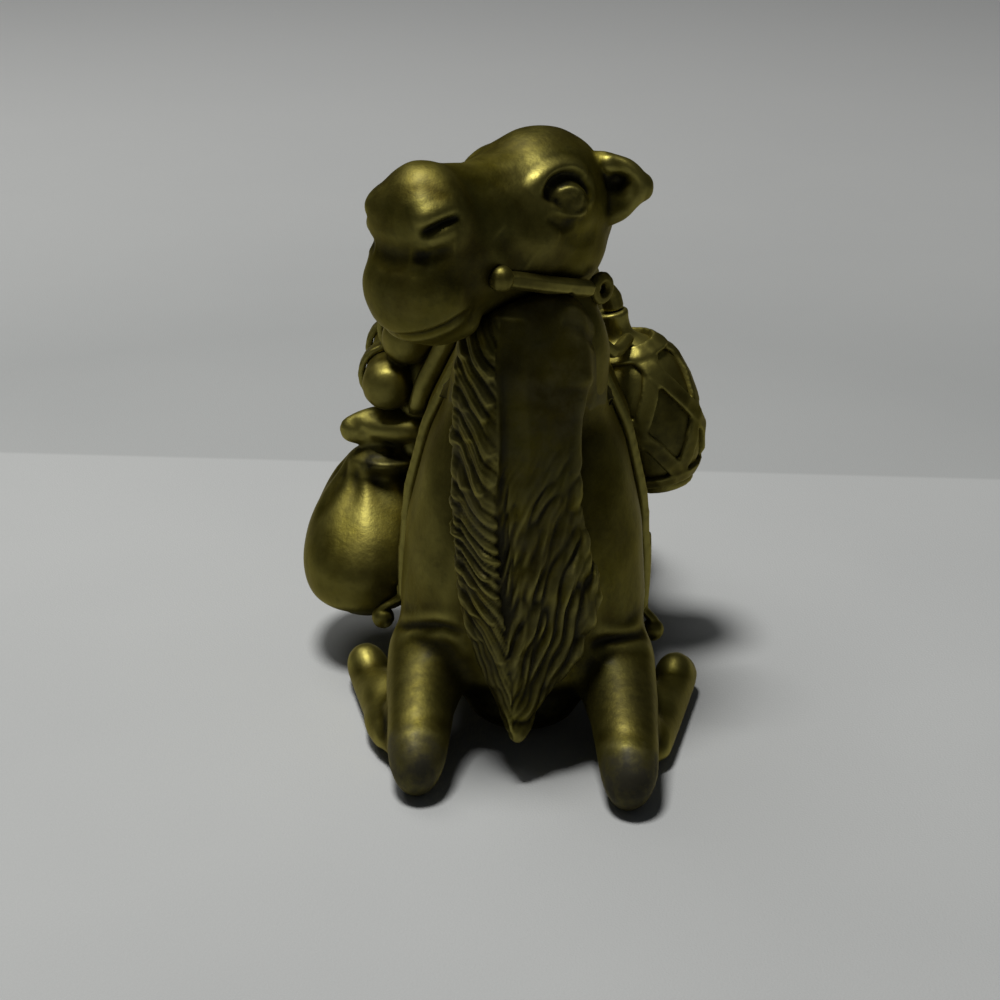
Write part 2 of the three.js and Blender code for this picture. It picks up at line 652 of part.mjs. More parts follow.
function netCollar(u) {
  const half = 0.035;
  const [thin, thick] = [clearance + 0.05, clearance + net.thickness + 0.4];
  const corner = (side, out) => {
    const p = offJug(u + side * half, out, 0);
    return [p.x, p.z];
  };
  const section = [corner(-1, thin), corner(-1, thick), corner(1, thick), corner(1, thin), corner(-1, thin)];
  return turned(section, { frame: jugFrame });
}
function netForm() {
  const made = netEnds.map(netCollar);
  for (let k = 0; k < net.bands; k++) {
    const angle = (2 * Math.PI * k) / net.bands;
    made.push(netBand(angle, 1), netBand(angle + 0.4, -1));
  }
  return union(...made);
}
const stopperForm = turned(
  [
    [0, jugTop - stopper.stemLength],
    [stopper.stemRadius, jugTop - stopper.stemLength],
    [stopper.stemRadius, jugTop + clearance],
    [stopper.radius, jugTop + clearance],
    [stopper.radius, jugTop + stopper.height * 0.6],
    [stopper.radius * 0.6, jugTop + stopper.height],
    [0, jugTop + stopper.height],
  ],
  { sides: 12, frame: jugFrame },
);
const stopperSeat = onJug([0, 0, jugTop - stopper.stemLength - clearance]);
const stopperHole = rod(stopperSeat, onJug([0, 0, jugTop + 2]), stopper.stemRadius + clearance, 12);

// Rope that slings the load over the pad
const ropeOut = clothOut + clearance + loadRope.radius;
const overBack = (angle) => {
  const u = trunkPlace(loadRope.y);
  const x = (trunkSize("width", u) + ropeOut) * Math.cos(turn(angle));
  return [x, loadRope.y, trunk.axisZ + (trunkSize("rise", u) + ropeOut) * Math.sin(turn(angle))];
};
const ropeForm = () => {
  const neckSide = onJug([0, -jug.neckRadius - loadRope.radius - clearance, jug.height + 1]);
  const { radius, fromAngle, toAngle } = loadRope;
  const over = Array.from({ length: 5 }, (_, k) => overBack(mix(fromAngle, toAngle, k / 4)));
  return cord([...over, neckSide], radius, { steps: 3 });
};

// Halter: rope pieces lie half sunk along the cheeks
const knobAt = (side) => onHead([side * (cheekAt(halter.y) + 0.5), halter.y, halter.z]);
const ringAt = (side) => {
  const y = head.skullHalfLength * 0.4;
  return [side * (cheekAt(y) + halter.ropeRadius), y, -head.jawDrop * 0.8];
};
function cheekRope(side) {
  const line = [0.09, 0.36, 0.64, 0.93].map((share) => {
    const y = mix(halter.y, ringAt(side)[1] - halter.ringRadius, share);
    return onHead([side * (cheekAt(y) + halter.ropeRadius * 0.3), y, mix(halter.z, ringAt(side)[2], share)]);
  });
  return cord(line, halter.ropeRadius);
}
function chinRope() {
  const drop = head.jawDrop + lowerJaw.depth - 0.9 + halter.z;
  const line = Array.from({ length: 5 }, (_, k) => {
    const angle = turn(mix(...halter.chinAngles, k / 4));
    const x = (cheekAt(halter.y) + 0.9) * Math.cos(angle);
    return onHead([x, halter.y + 0.8, halter.z + drop * Math.sin(angle)]);
  });
  return cord(line, halter.ropeRadius, { steps: 4 });
}
function halterRing(side) {
  const geometry = new THREE.TorusGeometry(halter.ringRadius, halter.ropeRadius, 7, 12).rotateY(Math.PI / 2);
  return solid(geometry.translate(...ringAt(side)).applyMatrix4(headFrame));
}

// Face pieces
const eyeAt = (side) => [side * head.skullHalfWidth * 0.811, eye.y, eye.z];
const earFrame = (side) => {
  const place = new THREE.Matrix4().makeRotationZ(side > 0 ? turn(ear.back) : Math.PI - turn(ear.back));
  place.multiply(new THREE.Matrix4().makeRotationY(turn(ear.droop)));
  const root = [side * head.skullHalfWidth * 0.755, head.skullHalfLength * 0.6, head.skullRise * 0.267];
  return place.setPosition(...root).premultiply(headFrame);
};
// An ear is a leaf that narrows to its tip, with a bowl pressed into its front
const earForm = (side) => {
  const { length, halfHeight, halfThickness, wall } = ear;
  const row = (share, up, high, thin) => [
    (share - 0.35) * length,
    0,
    up * halfHeight,
    halfHeight * high,
    halfThickness * thin,
  ];
  const line = [
    row(0, -0.3, 1, 1),
    row(0.4, -0.1, 0.95, 1),
    row(0.72, 0.08, 0.7, 0.9),
    row(0.92, 0.14, 0.36, 0.7),
  ];
  const leaf = { across: new THREE.Vector3(0, 0, 1), sides: 14, frame: earFrame(side) };
  const bowl = new THREE.Matrix4().makeTranslation(0, -side * (wall + 0.7), 0).premultiply(earFrame(side));
  return limb(line, leaf).subtract(limb(line, { ...leaf, grow: -wall, frame: bowl }));
};
const jawForm = (grow = 0) => {
  const { halfWidth, depth } = lowerJaw;
  const line = [
    [0, -0.32 * head.muzzleReach, -0.9 * head.jawDrop, halfWidth * 0.9, depth],
    [0, -0.64 * head.muzzleReach, -0.91 * head.jawDrop, halfWidth, depth],
    [0, -head.muzzleReach, -0.923 * head.jawDrop, halfWidth, depth],
  ];
  return limb(line, { grow, rings: 2, frame: headFrame });
};

// Tassels: a cord down the outside of the cloth, with a ball at its end
function tasselForm(side, y, length) {
  const { cordRadius, ballRadius, ballZ } = tassel;
  const out = (z) => flankAt(y, z, clothOut) + clearance + cordRadius;
  const line = [1, 0.66, 0.33, 0.08].map((share) => {
    const z = ballZ + share * length;
    return [side * out(Math.max(z, blanket.hemZ + 3)), y, z];
  });
  return cord(line, cordRadius, { steps: 3 }).add(bead([line[3][0], y, ballZ], ballRadius));
}

// Seats of the pieces on the trunk
const fringeSeat = (y) => [head.at[0], y, trunk.axisZ + 12];
const seats = { fringe: leavesTrunk(fringeSeat(trunk.chestY + 18), fringeSeat(trunk.chestY - 22)) };
seats.sack = leavesTrunk([0, sack.y, sack.z + 2], [-60, sack.y, sack.z + 2]);
seats.jug = leavesTrunk([0, jug.y, jugMidZ - 4], [60, jug.y, jugMidZ - 4]);
for (const [name, side] of Object.entries(sides)) {
  seats["foreleg_" + name] = leavesTrunk(elbowAt(side), kneeAt(side));
  seats["hindleg_" + name] = leavesTrunk(hipAt(side), [hipAt(side)[0] + side * 9, hindleg.stifleY, 6]);
}
const neckSeat = leavesTrunk(neckLine[0].slice(0, 3), neckLine[2].slice(0, 3));
const neckBore = rod(neckSeat(-9), neckSeat(sleeve.reach + clearance), sleeve.radius + clearance, 18);
const nape = lineUp([neck.drift, neck.midY + 2.6, head.at[2] - head.jawDrop + 1], [0, 0.35, 1]);
const napeBore = rod(nape(-sleeve.reach - clearance), nape(8), sleeve.radius + clearance, 18);
const tubeOn = (at) => {
  const tube = rod(at(-sleeve.reach), at(sleeve.reach), sleeve.radius, 18);
  return tube.subtract(rod(at(-9), at(9), sleeve.radius - sleeve.wall, 18));
};

const seamAt = {
  chest: [alongTrunk(0.07), trunk.axisZ + 12],
  rump: [alongTrunk(0.953), trunk.axisZ + 4],
  hump: [hump.y, hump.z + hump.rise - 9],
};
const seamPins = Object.values(seamAt).map(([y, z]) => lineUp([0, y, z], [1, 0, 0]));

const outer = bodyForm();
const seams = seamPins.map((at) => rod(at(-30), at(30), dowel.bossRadius));
const hollow = barrel(-trunk.wall, { sides: 16, between: 1 }).add(humpForm(-trunk.wall));
const inside = cut(hollow, ...seams, ...Object.values(seats).map(boss));
const shell = cut(outer, inside, neckBore, ...[...Object.values(seats), ...seamPins].map(pinHole));

const bodyGap = bodyForm(clearance);
const headGap = headForm(clearance);
const neckGap = neckForm(clearance);
const clothGap = covered(clothOut + clearance);
const padEdge = { ...pad, frontY: pad.frontY - clearance, hemZ: pad.hemZ - clearance };
const padGap = covered(padOut + clearance).intersect(hangingOutline(padEdge));

const pieces = {};
const brass = { color: 0x6b5a2a, roughness: 0.42, metalness: 0.85 };
const worn = { color: 0x5c5340, roughness: 0.6, metalness: 0.7 };
const bare = { color: 0xb08d45, roughness: 0.35, metalness: 0.95 };
const put = (name, form, finish = brass) => {
  pieces[name] = { form, finish };
};

const leftHalf = block([clearance / 2, -beyond, -beyond], [beyond, beyond, beyond]);
const rightHalf = block([-beyond, -beyond, -beyond], [-clearance / 2, beyond, beyond]);
put("body_left_shell", shell.intersect(leftHalf));
put("body_right_shell", shell.intersect(rightHalf));
Object.keys(seamAt).forEach((name, k) => put("seam_dowel_" + name, pin(seamPins[k]), bare));
put("neck_shell", cut(neckForm(), bodyGap, headGap, neckCore, neckBore, napeBore));
put("neck_sleeve", tubeOn(neckSeat), bare);
put("head_sleeve", tubeOn(nape), bare);
put("neck_fringe", cut(fringeForm(), neckGap, bodyGap, headGap, pinHole(seats.fringe)));
put("fringe_dowel", pin(seats.fringe), bare);
const eyeForm = (side, grow = 0) => bead(eyeAt(side), eye.radius, { grow, frame: headFrame });
put("head_shell", cut(headForm(), headCore, napeBore, eyeForm(1, clearance), eyeForm(-1, clearance)));
put("lower_jaw", cut(jawForm(), headGap, neckGap, fringeForm(clearance)));
put("halter_chin_rope", cut(chinRope(), headGap, jawForm(clearance), neckGap, fringeForm(clearance)));
put("tail", cut(tailForm, bodyGap));
for (const [name, side] of Object.entries(sides)) {
  put("eye_" + name, eyeForm(side));
  put("ear_" + name, cut(earForm(side), headGap));
  put("halter_knob_" + name, cut(bead(knobAt(side), halter.knobRadius), headGap));
  put("halter_ring_" + name, cut(halterRing(side), headGap, neckGap, fringeForm(clearance)));
  const knobGap = bead(knobAt(side), halter.knobRadius, { grow: clearance });
  const ropeNeighbours = [headGap, neckGap, fringeForm(clearance), knobGap];
  put("halter_cheek_rope_" + name, cut(cheekRope(side), ...ropeNeighbours));
  const seat = seats["foreleg_" + name];
  put("foreleg_" + name, cut(forelegForm(side), bodyGap, underground, pinHole(seat)), worn);
  put("foreleg_dowel_" + name, pin(seat), bare);
  put("foreshin_" + name, cut(foreshinForm(side), forelegForm(side, clearance), bodyGap, underground));
  const hindSeat = seats["hindleg_" + name];
  put("hindleg_" + name, cut(hindlegForm(side), bodyGap, underground, pinHole(hindSeat)));
  put("hindleg_dowel_" + name, pin(hindSeat), bare);
  put("hindshin_" + name, cut(hindshinForm(side), hindlegForm(side, clearance), bodyGap, underground));
}

const loadHoles = [pinHole(seats.sack), pinHole(seats.jug)];
const hocks = Object.values(sides).map((side) => hindlegForm(side, clothIn));
const cloth = covered(clothOut).intersect(hangingOutline(blanket));
put("saddle_blanket", cut(cloth, covered(clothIn), ...hocks, neckGap, ...loadHoles));
for (const [name, side] of Object.entries(sides)) {
  const hanging = tasselForm(side, blanket.frontY + 2, tassel[name + "Length"]);
  put("tassel_front_" + name, cut(hanging, clothGap));
}
const padSide = block([-beyond, -beyond, 0], [pad.overTop, beyond, beyond]);
const folded = covered(padOut).intersect(hangingOutline(pad)).intersect(padSide);
put("saddle_pad", cut(folded, covered(padIn), neckGap));
put("sack_body", cut(sackForm(), clothGap, pinHole(seats.sack)));
put("sack_dowel", pin(seats.sack), bare);
put("sack_mouth", cut(ruffleForm(), clothGap, padGap, sackForm(clearance)));
put("sack_tie", cut(sackTieForm(), sackForm(clearance), ruffleForm(clearance), clothGap));
put("bed_roll_lower", cut(rollForm(lowerRoll), padGap, ruffleForm(clearance)));
put("bed_roll_upper", cut(rollForm(upperRoll), padGap));
for (const [name, y] of [["front", rollStrap.frontY], ["rear", rollStrap.rearY]]) {
  put("roll_strap_" + name, cut(strapForm(y), padGap, ruffleForm(clearance), clothGap));
}
put("jug_body", cut(jugForm(), clothGap, pinHole(seats.jug), stopperHole));
put("jug_net", cut(netForm(), clothGap));
put("jug_dowel", pin(seats.jug), bare);
put("jug_stopper", stopperForm);
put("load_rope", cut(ropeForm(), clothGap, neckGap, jugForm(clearance)));

const figure = new THREE.Group();
for (const [name, { form, finish }] of Object.entries(pieces)) {
  const { vertProperties, triVerts } = form.getMesh();
  const geometry = new THREE.BufferGeometry();
  geometry.setAttribute("position", new THREE.BufferAttribute(new Float32Array(vertProperties), 3));
  geometry.setIndex(new THREE.BufferAttribute(new Uint32Array(triVerts), 1));
  geometry.computeVertexNormals();
  const mesh = new THREE.Mesh(geometry, new THREE.MeshStandardMaterial(finish));
  mesh.name = name;
  figure.add(mesh);
}

// The origin is the middle of the footprint
const middle = new THREE.Box3().setFromObject(figure).getCenter(new THREE.Vector3());
figure.position.set(-middle.x, -middle.y, 0);
export default figure;
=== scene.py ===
import math

import bmesh
import bpy
import numpy as np
from mathutils import Matrix, Vector, noise
from mathutils.bvhtree import BVHTree


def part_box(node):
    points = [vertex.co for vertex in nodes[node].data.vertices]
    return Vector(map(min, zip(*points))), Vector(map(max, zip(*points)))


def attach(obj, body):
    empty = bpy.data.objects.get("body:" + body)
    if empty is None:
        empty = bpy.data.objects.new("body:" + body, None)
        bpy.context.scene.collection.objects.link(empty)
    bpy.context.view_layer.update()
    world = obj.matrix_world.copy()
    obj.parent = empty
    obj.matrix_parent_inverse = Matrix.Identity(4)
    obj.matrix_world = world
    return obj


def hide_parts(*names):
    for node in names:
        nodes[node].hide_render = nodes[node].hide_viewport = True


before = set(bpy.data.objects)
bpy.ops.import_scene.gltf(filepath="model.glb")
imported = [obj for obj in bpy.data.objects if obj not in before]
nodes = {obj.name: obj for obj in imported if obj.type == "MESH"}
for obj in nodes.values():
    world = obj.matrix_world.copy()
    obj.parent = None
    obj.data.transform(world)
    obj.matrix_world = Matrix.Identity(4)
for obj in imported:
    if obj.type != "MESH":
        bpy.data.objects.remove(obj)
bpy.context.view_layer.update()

scene = bpy.context.scene
metre = 1000.0  # sizes below are millimetres, turned to metres when a mesh is written
print("frame loaded:", len(nodes), "nodes")


def nodeBox(name):
    low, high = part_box(name)
    return np.array(low) * metre, np.array(high) * metre


# the part's own drawing has the trunk's seam at x = 0: a seam dowel gives the way back to it
chestDowelAt = (0.0, -32.0, 34.0)  # that dowel's middle in the drawing
shift = sum(nodeBox("seam_dowel_chest")) / 2 - np.array(chestDowelAt)

# camera, worked out from the knees, the feet and the edge of the cloth
photoView = {
    "aim": (-4.2, -20.0, 35.4),
    "azimuth": 1.5,
    "elevation": 22.0,
    "distance": 380.0,
    "roll": 1.0,
    "focalPixels": 2280.0,
    "framePixels": 1000.0,
    "sensorWidth": 36.0,
    "clip": (0.01, 10.0),  # metres
}


def cameraAxes():
    a, e, r = (math.radians(photoView[k]) for k in ("azimuth", "elevation", "roll"))
    back = np.array((math.sin(a) * math.cos(e), -math.cos(a) * math.cos(e), math.sin(e)))
    right = np.array((math.cos(a), math.sin(a), 0.0))
    up = np.cross(back, right)
    return math.cos(r) * right + math.sin(r) * up, math.cos(r) * up - math.sin(r) * right, back


cameraRight, cameraUp, cameraBack = cameraAxes()
cameraPlace = np.array(photoView["aim"]) + shift + photoView["distance"] * cameraBack


def makeCamera():
    data = bpy.data.cameras.new("photoCamera")
    data.sensor_width = photoView["sensorWidth"]
    data.lens = photoView["focalPixels"] * data.sensor_width / photoView["framePixels"]
    data.clip_start, data.clip_end = photoView["clip"]
    camera = bpy.data.objects.new("photoCamera", data)
    scene.collection.objects.link(camera)
    columns = np.stack((cameraRight, cameraUp, cameraBack, cameraPlace / metre), 1)
    camera.matrix_world = Matrix([*columns.tolist(), (0, 0, 0, 1)])
    scene.camera = camera


def sightLine(pixel):
    half = photoView["framePixels"] / 2
    way = -cameraBack * photoView["focalPixels"]
    way = way + cameraRight * (pixel[0] - half) - cameraUp * (pixel[1] - half)
    return Vector(way / np.linalg.norm(way))


def pixelsOf(points):
    # where points fall in the photograph, and how far off they are
    ahead = points - cameraPlace
    depth = -(ahead @ cameraBack)
    scale = photoView["focalPixels"] / depth
    half = photoView["framePixels"] / 2
    return half + (ahead @ cameraRight) * scale, half - (ahead @ cameraUp) * scale, depth


makeCamera()
print("camera set")


tiny, farAway = 1e-9, 1e9
noiseMoves = (7.31, 3.17, 5.71)  # from one seed of the noise to the next


def smoothstep(x):
    x = np.clip(x, 0, 1)
    return x * x * (3 - 2 * x)


def ramp(values, start, reach):
    # 0 before the start, 1 past the reach; a negative reach runs the other way
    return smoothstep((values - start) / reach)


def evenOut(values, span):
    # each value becomes the mean of those around it
    return np.convolve(np.pad(values, span // 2, mode="edge"), np.ones(span) / span, "valid")


def spline(points, steps):
    # a smooth line through the points
    p = np.asarray(points, float)
    p = np.concatenate((2 * p[:1] - p[1:2], p, 2 * p[-1:] - p[-2:-1]))
    u = np.linspace(0, len(p) - 3 - tiny, steps)
    k, t = np.floor(u).astype(int), (u % 1)[:, None]
    a, b, c, d = p[k], p[k + 1], p[k + 2], p[k + 3]
    return b + 0.5 * t * (c - a + t * (2 * a - 5 * b + 4 * c - d + t * (3 * (b - c) + d - a)))


def grain(points, scale, seed=0):
    # smooth noise from -1 to 1, the same on every run
    move = Vector([seed * step for step in noiseMoves])
    return np.array([noise.noise(Vector(p) / scale + move) for p in points])


# a cast skin: a dense mesh that is pushed about like wax
class Casting:
    def __init__(self, name, mesh):
        self.name, self.mesh = name, mesh
        count = len(mesh.vertices)
        flat = np.zeros(count * 3, np.float32)
        mesh.vertices.foreach_get("co", flat)
        self.points = flat.reshape(-1, 3).astype(float) * metre
        pairs = np.zeros(len(mesh.edges) * 2, np.int32)
        mesh.edges.foreach_get("vertices", pairs)
        a, b = pairs.reshape(-1, 2).T
        self.start, self.end = np.concatenate((a, b)), np.concatenate((b, a))
        self.links = np.maximum(np.bincount(self.start, minlength=count), 1)
        self.refresh()

    def refresh(self):
        self.mesh.vertices.foreach_set("co", (self.points / metre).astype(np.float32).ravel())
        self.mesh.update()
        flat = np.zeros(len(self.points) * 3, np.float32)
        self.mesh.vertex_normals.foreach_get("vector", flat)
        self.normals = flat.reshape(-1, 3).astype(float)
        self.sight = None

    def average(self, values):
        if values.ndim == 1:
            return np.bincount(self.start, values[self.end], len(values)) / self.links
        return np.stack([self.average(values[:, k]) for k in range(values.shape[1])], 1)

    def smooth(self, times, share=0.5, where=None):
        keep = share if where is None else share * where[:, None]
        for _ in range(times):
            self.points += keep * (self.average(self.points) - self.points)
        self.refresh()

    def push(self, amount):
        self.points += self.normals * np.reshape(amount, (-1, 1))
        self.refresh()

    def seen(self, pixel):
        # the point of the skin behind a pixel of the photograph
        if self.sight is None:
            faces = [tuple(f.vertices) for f in self.mesh.polygons]
            self.sight = BVHTree.FromPolygons([Vector(p) for p in self.points], faces)
        return self.sight.ray_cast(Vector(cameraPlace), sightLine(pixel))[0]

    def trace(self, pixels, steps=24):
        # a line drawn over the photograph, laid on the skin; pixels beside the skin are left out
        hits = [self.seen(p) for p in spline(pixels, steps)]
        return np.array([h for h in hits if h is not None])

    def toLine(self, path, reach):
        # distance of each point to a line, and the share of the line's length there
        steps = np.linalg.norm(np.diff(path, axis=0), axis=1)
        marks = np.concatenate(((0,), np.cumsum(steps))) / max(steps.sum(), tiny)
        away, share = np.full(len(self.points), farAway), np.zeros(len(self.points))
        low, high = path.min(0) - reach, path.max(0) + reach
        near = np.flatnonzero(((self.points > low) & (self.points < high)).all(1))
        spots = self.points[near]
        best, where = np.full(len(near), farAway), np.zeros(len(near))
        for k in range(len(path) - 1):
            leg = path[k + 1] - path[k]
            t = np.clip((spots - path[k]) @ leg / max(leg @ leg, tiny), 0, 1)
            d = np.linalg.norm(spots - path[k] - t[:, None] * leg, axis=1)
            closer = d < best
            best[closer] = d[closer]
            where[closer] = (marks[k] + t * (marks[k + 1] - marks[k]))[closer]
        away[near], share[near] = best, where
        return away, share

    def stroke(self, path, width, height, taper=0.25):
        # a ridge, or a groove where height is negative, that runs out at its ends
        path = np.asarray(path, float)
        away, share = self.toLine(path, width)
        ends = np.clip(np.minimum(share, 1 - share) / taper, 0, 1) if taper else 1.0
        self.push(height * smoothstep(1 - away / width) * np.sqrt(ends))

    def dab(self, centre, radius, height):
        away = np.linalg.norm(self.points - centre, axis=1)
        self.push(height * smoothstep(1 - away / radius))

    def dome(self, centre, radius, height):
        # part of a ball that stands out of the skin
        away = np.linalg.norm(self.points - centre, axis=1)
        out = self.normals[away < radius].mean(0)
        lift = height * np.sqrt(np.clip(1 - (away / radius) ** 2, 0, 1))
        self.points += lift[:, None] * out / np.linalg.norm(out)
        self.refresh()

    def close(self, member, reach):
        # 1 on the skin over one of the part's solids, 0 further off than the reach
        mesh = nodes[member].data
        spots = [v.co * metre for v in mesh.vertices]
        faces = [tuple(f.vertices) for f in mesh.polygons]
        solid = BVHTree.FromPolygons(spots, faces)
        found = [solid.find_nearest(Vector(p), reach)[3] for p in self.points]
        away = np.array([reach if d is None else d for d in found])
        return smoothstep(1 - away / reach)

    def near(self, boxes, margin):
        # 1 inside the boxes, falling to 0 over the margin
        best = np.full(len(self.points), farAway)
        for low, high in boxes:
            out = np.maximum(np.maximum(low - self.points, self.points - high), 0)
            best = np.minimum(best, np.linalg.norm(out, axis=1))
        return smoothstep(1 - best / margin)


def keepOuter(mesh):
    # inner hollows are separate shells of the mesh: only the widest shell is kept
    count = len(mesh.vertices)
    pairs = np.zeros(len(mesh.edges) * 2, np.int32)
    mesh.edges.foreach_get("vertices", pairs)
    a, b = pairs.reshape(-1, 2).T
    label = np.arange(count)
    while True:
        low = np.minimum(label[a], label[b])
        fresh = label.copy()
        np.minimum.at(fresh, label[a], low)
        np.minimum.at(fresh, label[b], low)
        fresh = fresh[fresh]
        if np.array_equal(fresh, label):
            break
        label = fresh
    flat = np.zeros(count * 3, np.float32)
    mesh.vertices.foreach_get("co", flat)
    points = flat.reshape(-1, 3)
    shells = np.unique(label)
    spans = [np.ptp(points[label == s], axis=0).sum() for s in shells]
    wanted = label == shells[int(np.argmax(spans))]
    starts, totals = (np.zeros(len(mesh.polygons), np.int32) for _ in range(2))
    mesh.polygons.foreach_get("loop_start", starts)
    mesh.polygons.foreach_get("loop_total", totals)
    corners = np.zeros(len(mesh.loops), np.int32)
    mesh.loops.foreach_get("vertex_index", corners)
    kept = wanted[corners[starts]]
    number = (np.cumsum(wanted) - 1).astype(np.int32)
    loops = np.repeat(kept, totals)
    return meshFrom(mesh.name, points[wanted], number[corners[loops]], totals[kept])


def meshFrom(name, points, corners, totals):
    made = bpy.data.meshes.new(name)
    made.vertices.add(len(points))
    made.vertices.foreach_set("co", np.asarray(points, np.float32).ravel())
    made.loops.add(len(corners))
    made.loops.foreach_set("vertex_index", np.asarray(corners, np.int32).ravel())
    made.polygons.add(len(totals))
    made.polygons.foreach_set("loop_start", (np.cumsum(totals) - totals).astype(np.int32))
    made.update(calc_edges=True)
    made.validate()
    return made


# swelling, reach of the weld, and the sides and rings of a plug
castLook = {"grow": 0.17, "weld": 0.002, "plugSides": 20, "plugRings": 12}


def castFrom(name, members, voxel, grow=castLook["grow"], plugs=()):
    # the part's solids, a little swollen so that their joints close, melted into one skin;
    # plugs are egg shapes that fill a joint: place, radii
    joined = bmesh.new()
    spare = bpy.data.meshes.new("spare")
    for member in members:
        piece = bmesh.new()
        piece.from_mesh(nodes[member].data)
        bmesh.ops.remove_doubles(piece, verts=piece.verts, dist=castLook["weld"] / metre)
        piece.normal_update()
        for v in piece.verts:
            v.co += v.normal * (grow / metre)
        piece.to_mesh(spare)
        joined.from_mesh(spare)
        piece.free()
    for centre, radii in plugs:
        place = Matrix.Translation(Vector(np.array(centre) + shift) / metre)
        place = place @ Matrix.Diagonal((*[r / metre for r in radii], 1))
        sides = {"u_segments": castLook["plugSides"], "v_segments": castLook["plugRings"]}
        bmesh.ops.create_uvsphere(joined, **sides, radius=1, matrix=place)
    joined.to_mesh(spare)
    joined.free()
    carrier = bpy.data.objects.new(name, spare)
    scene.collection.objects.link(carrier)
    melt = carrier.modifiers.new("melt", "REMESH")
    melt.mode = "VOXEL"
    melt.voxel_size = voxel / metre
    view = bpy.context.evaluated_depsgraph_get()
    melted = bpy.data.meshes.new_from_object(carrier.evaluated_get(view))
    bpy.data.objects.remove(carrier)
    bpy.data.meshes.remove(spare)
    outer = keepOuter(melted)
    outer.name = name
    bpy.data.meshes.remove(melted)
    return Casting(name, outer)


# shader maths: an expression on wires adds its Math nodes
class Wire:
    def __init__(self, tree, socket=None):
        self.tree, self.socket = tree, socket

    def node(self, kind, settings=None, inputs=None, out=0):
        made = self.tree.nodes.new(kind)
        for key, value in (settings or {}).items():
            setattr(made, key, value)
        for key, value in (inputs or {}).items():
            if isinstance(value, Wire):
                self.tree.links.new(value.socket, made.inputs[key])
            else:
                made.inputs[key].default_value = value
        return Wire(self.tree, made.outputs[out])

    def maths(self, operation, a, b, clamp=False):
        return self.node("ShaderNodeMath", {"operation": operation, "use_clamp": clamp}, {0: a, 1: b})

    def __add__(self, other):
        return self.maths("ADD", self, other)

    def __radd__(self, other):
        return self.maths("ADD", other, self)

    def __sub__(self, other):
        return self.maths("SUBTRACT", self, other)

    def __rsub__(self, other):
        return self.maths("SUBTRACT", other, self)

    def __mul__(self, other):
        return self.maths("MULTIPLY", self, other)

    def __rmul__(self, other):
        return self.maths("MULTIPLY", other, self)

    def clamp(self):
        return self.maths("ADD", self, 0.0, True)

    def blend(self, a, b):
        # this value takes colour a to colour b; the Mix node's colour sockets are 6, 7 and out 2
        return self.node("ShaderNodeMix", {"data_type": "RGBA"}, {0: self, 6: a, 7: b}, 2)

    def noise(self, place, scale, detail, roughness):
        size = {"Vector": place, "Scale": scale, "Detail": detail, "Roughness": roughness}
        return self.node("ShaderNodeTexNoise", None, size)


def colour(r, g, b):
    return (r, g, b, 1.0)


agedBrass = {
    # dark patina, also used for painted shade
    "patinaAndShade": (0.013, 0.0117, 0.004),
    "olive": (0.122, 0.103, 0.009),
    "umber": (0.048, 0.038, 0.005),
    # bare metal of worn places, also used for painted highlight
    "rubbedAndHighlight": (0.23, 0.202, 0.048),
    "moss": (0.072, 0.068, 0.013),
    "dusty": (0.060, 0.055, 0.030),
    "scuffed": (0.042, 0.039, 0.027),
    "edge": (0.95, 0.85, 0.50),
    "metallic": 0.97,
    "roughness": 0.51,
    "lacquer": 0.08,
    "lacquerRoughness": 0.38,
    # noises: scale, detail, roughness
    "cloudNoise": (60.0, 4.0, 0.55),
    "blotchNoise": (210.0, 5.0, 0.65),
    "mossNoise": (95.0, 5.0, 0.6),
    "stainNoise": (120.0, 6.0, 0.7),
    "fleckNoise": (640.0, 4.0, 0.6),
    "lumpNoise": (420.0, 3.0, 0.55),
    "speckNoise": (1500.0, 2.0, 0.55),
    "noiseMiddle": 0.5,
    # patches cut out of a noise: level, contrast
    "olivePatch": (0.42, 3.2),
    "mossPatch": (0.48, 5.0),
    "stainPatch": (0.55, 4.0),
    "dustPatch": (0.35, 2.0),
    # how strongly patches and noises show
    "mossShare": 0.65,
    "stainShare": 0.45,
    "blotchOnShine": 0.8,
    "blotchOnDirt": 0.5,
    "fleckOnDirt": 0.9,
    "blotchOnScuff": 2.4,
    "scuffEdge": 3.0,
    # what each adds to the roughness, takes from the metal and lifts the bumps
    "rougher": {"blotch": 0.25, "dirtAndShade": 0.12, "shineAndHighlight": -0.06, "scuff": 0.3, "dust": 0.15},
    "lessMetal": {"dirtAndShade": 0.06, "dull": 0.2},
    "bumps": {"blotch": 0.5, "speck": 0.3, "lump": 0.6},
    "bumpStrength": 0.25,
    "bumpDepth": 0.4,
}


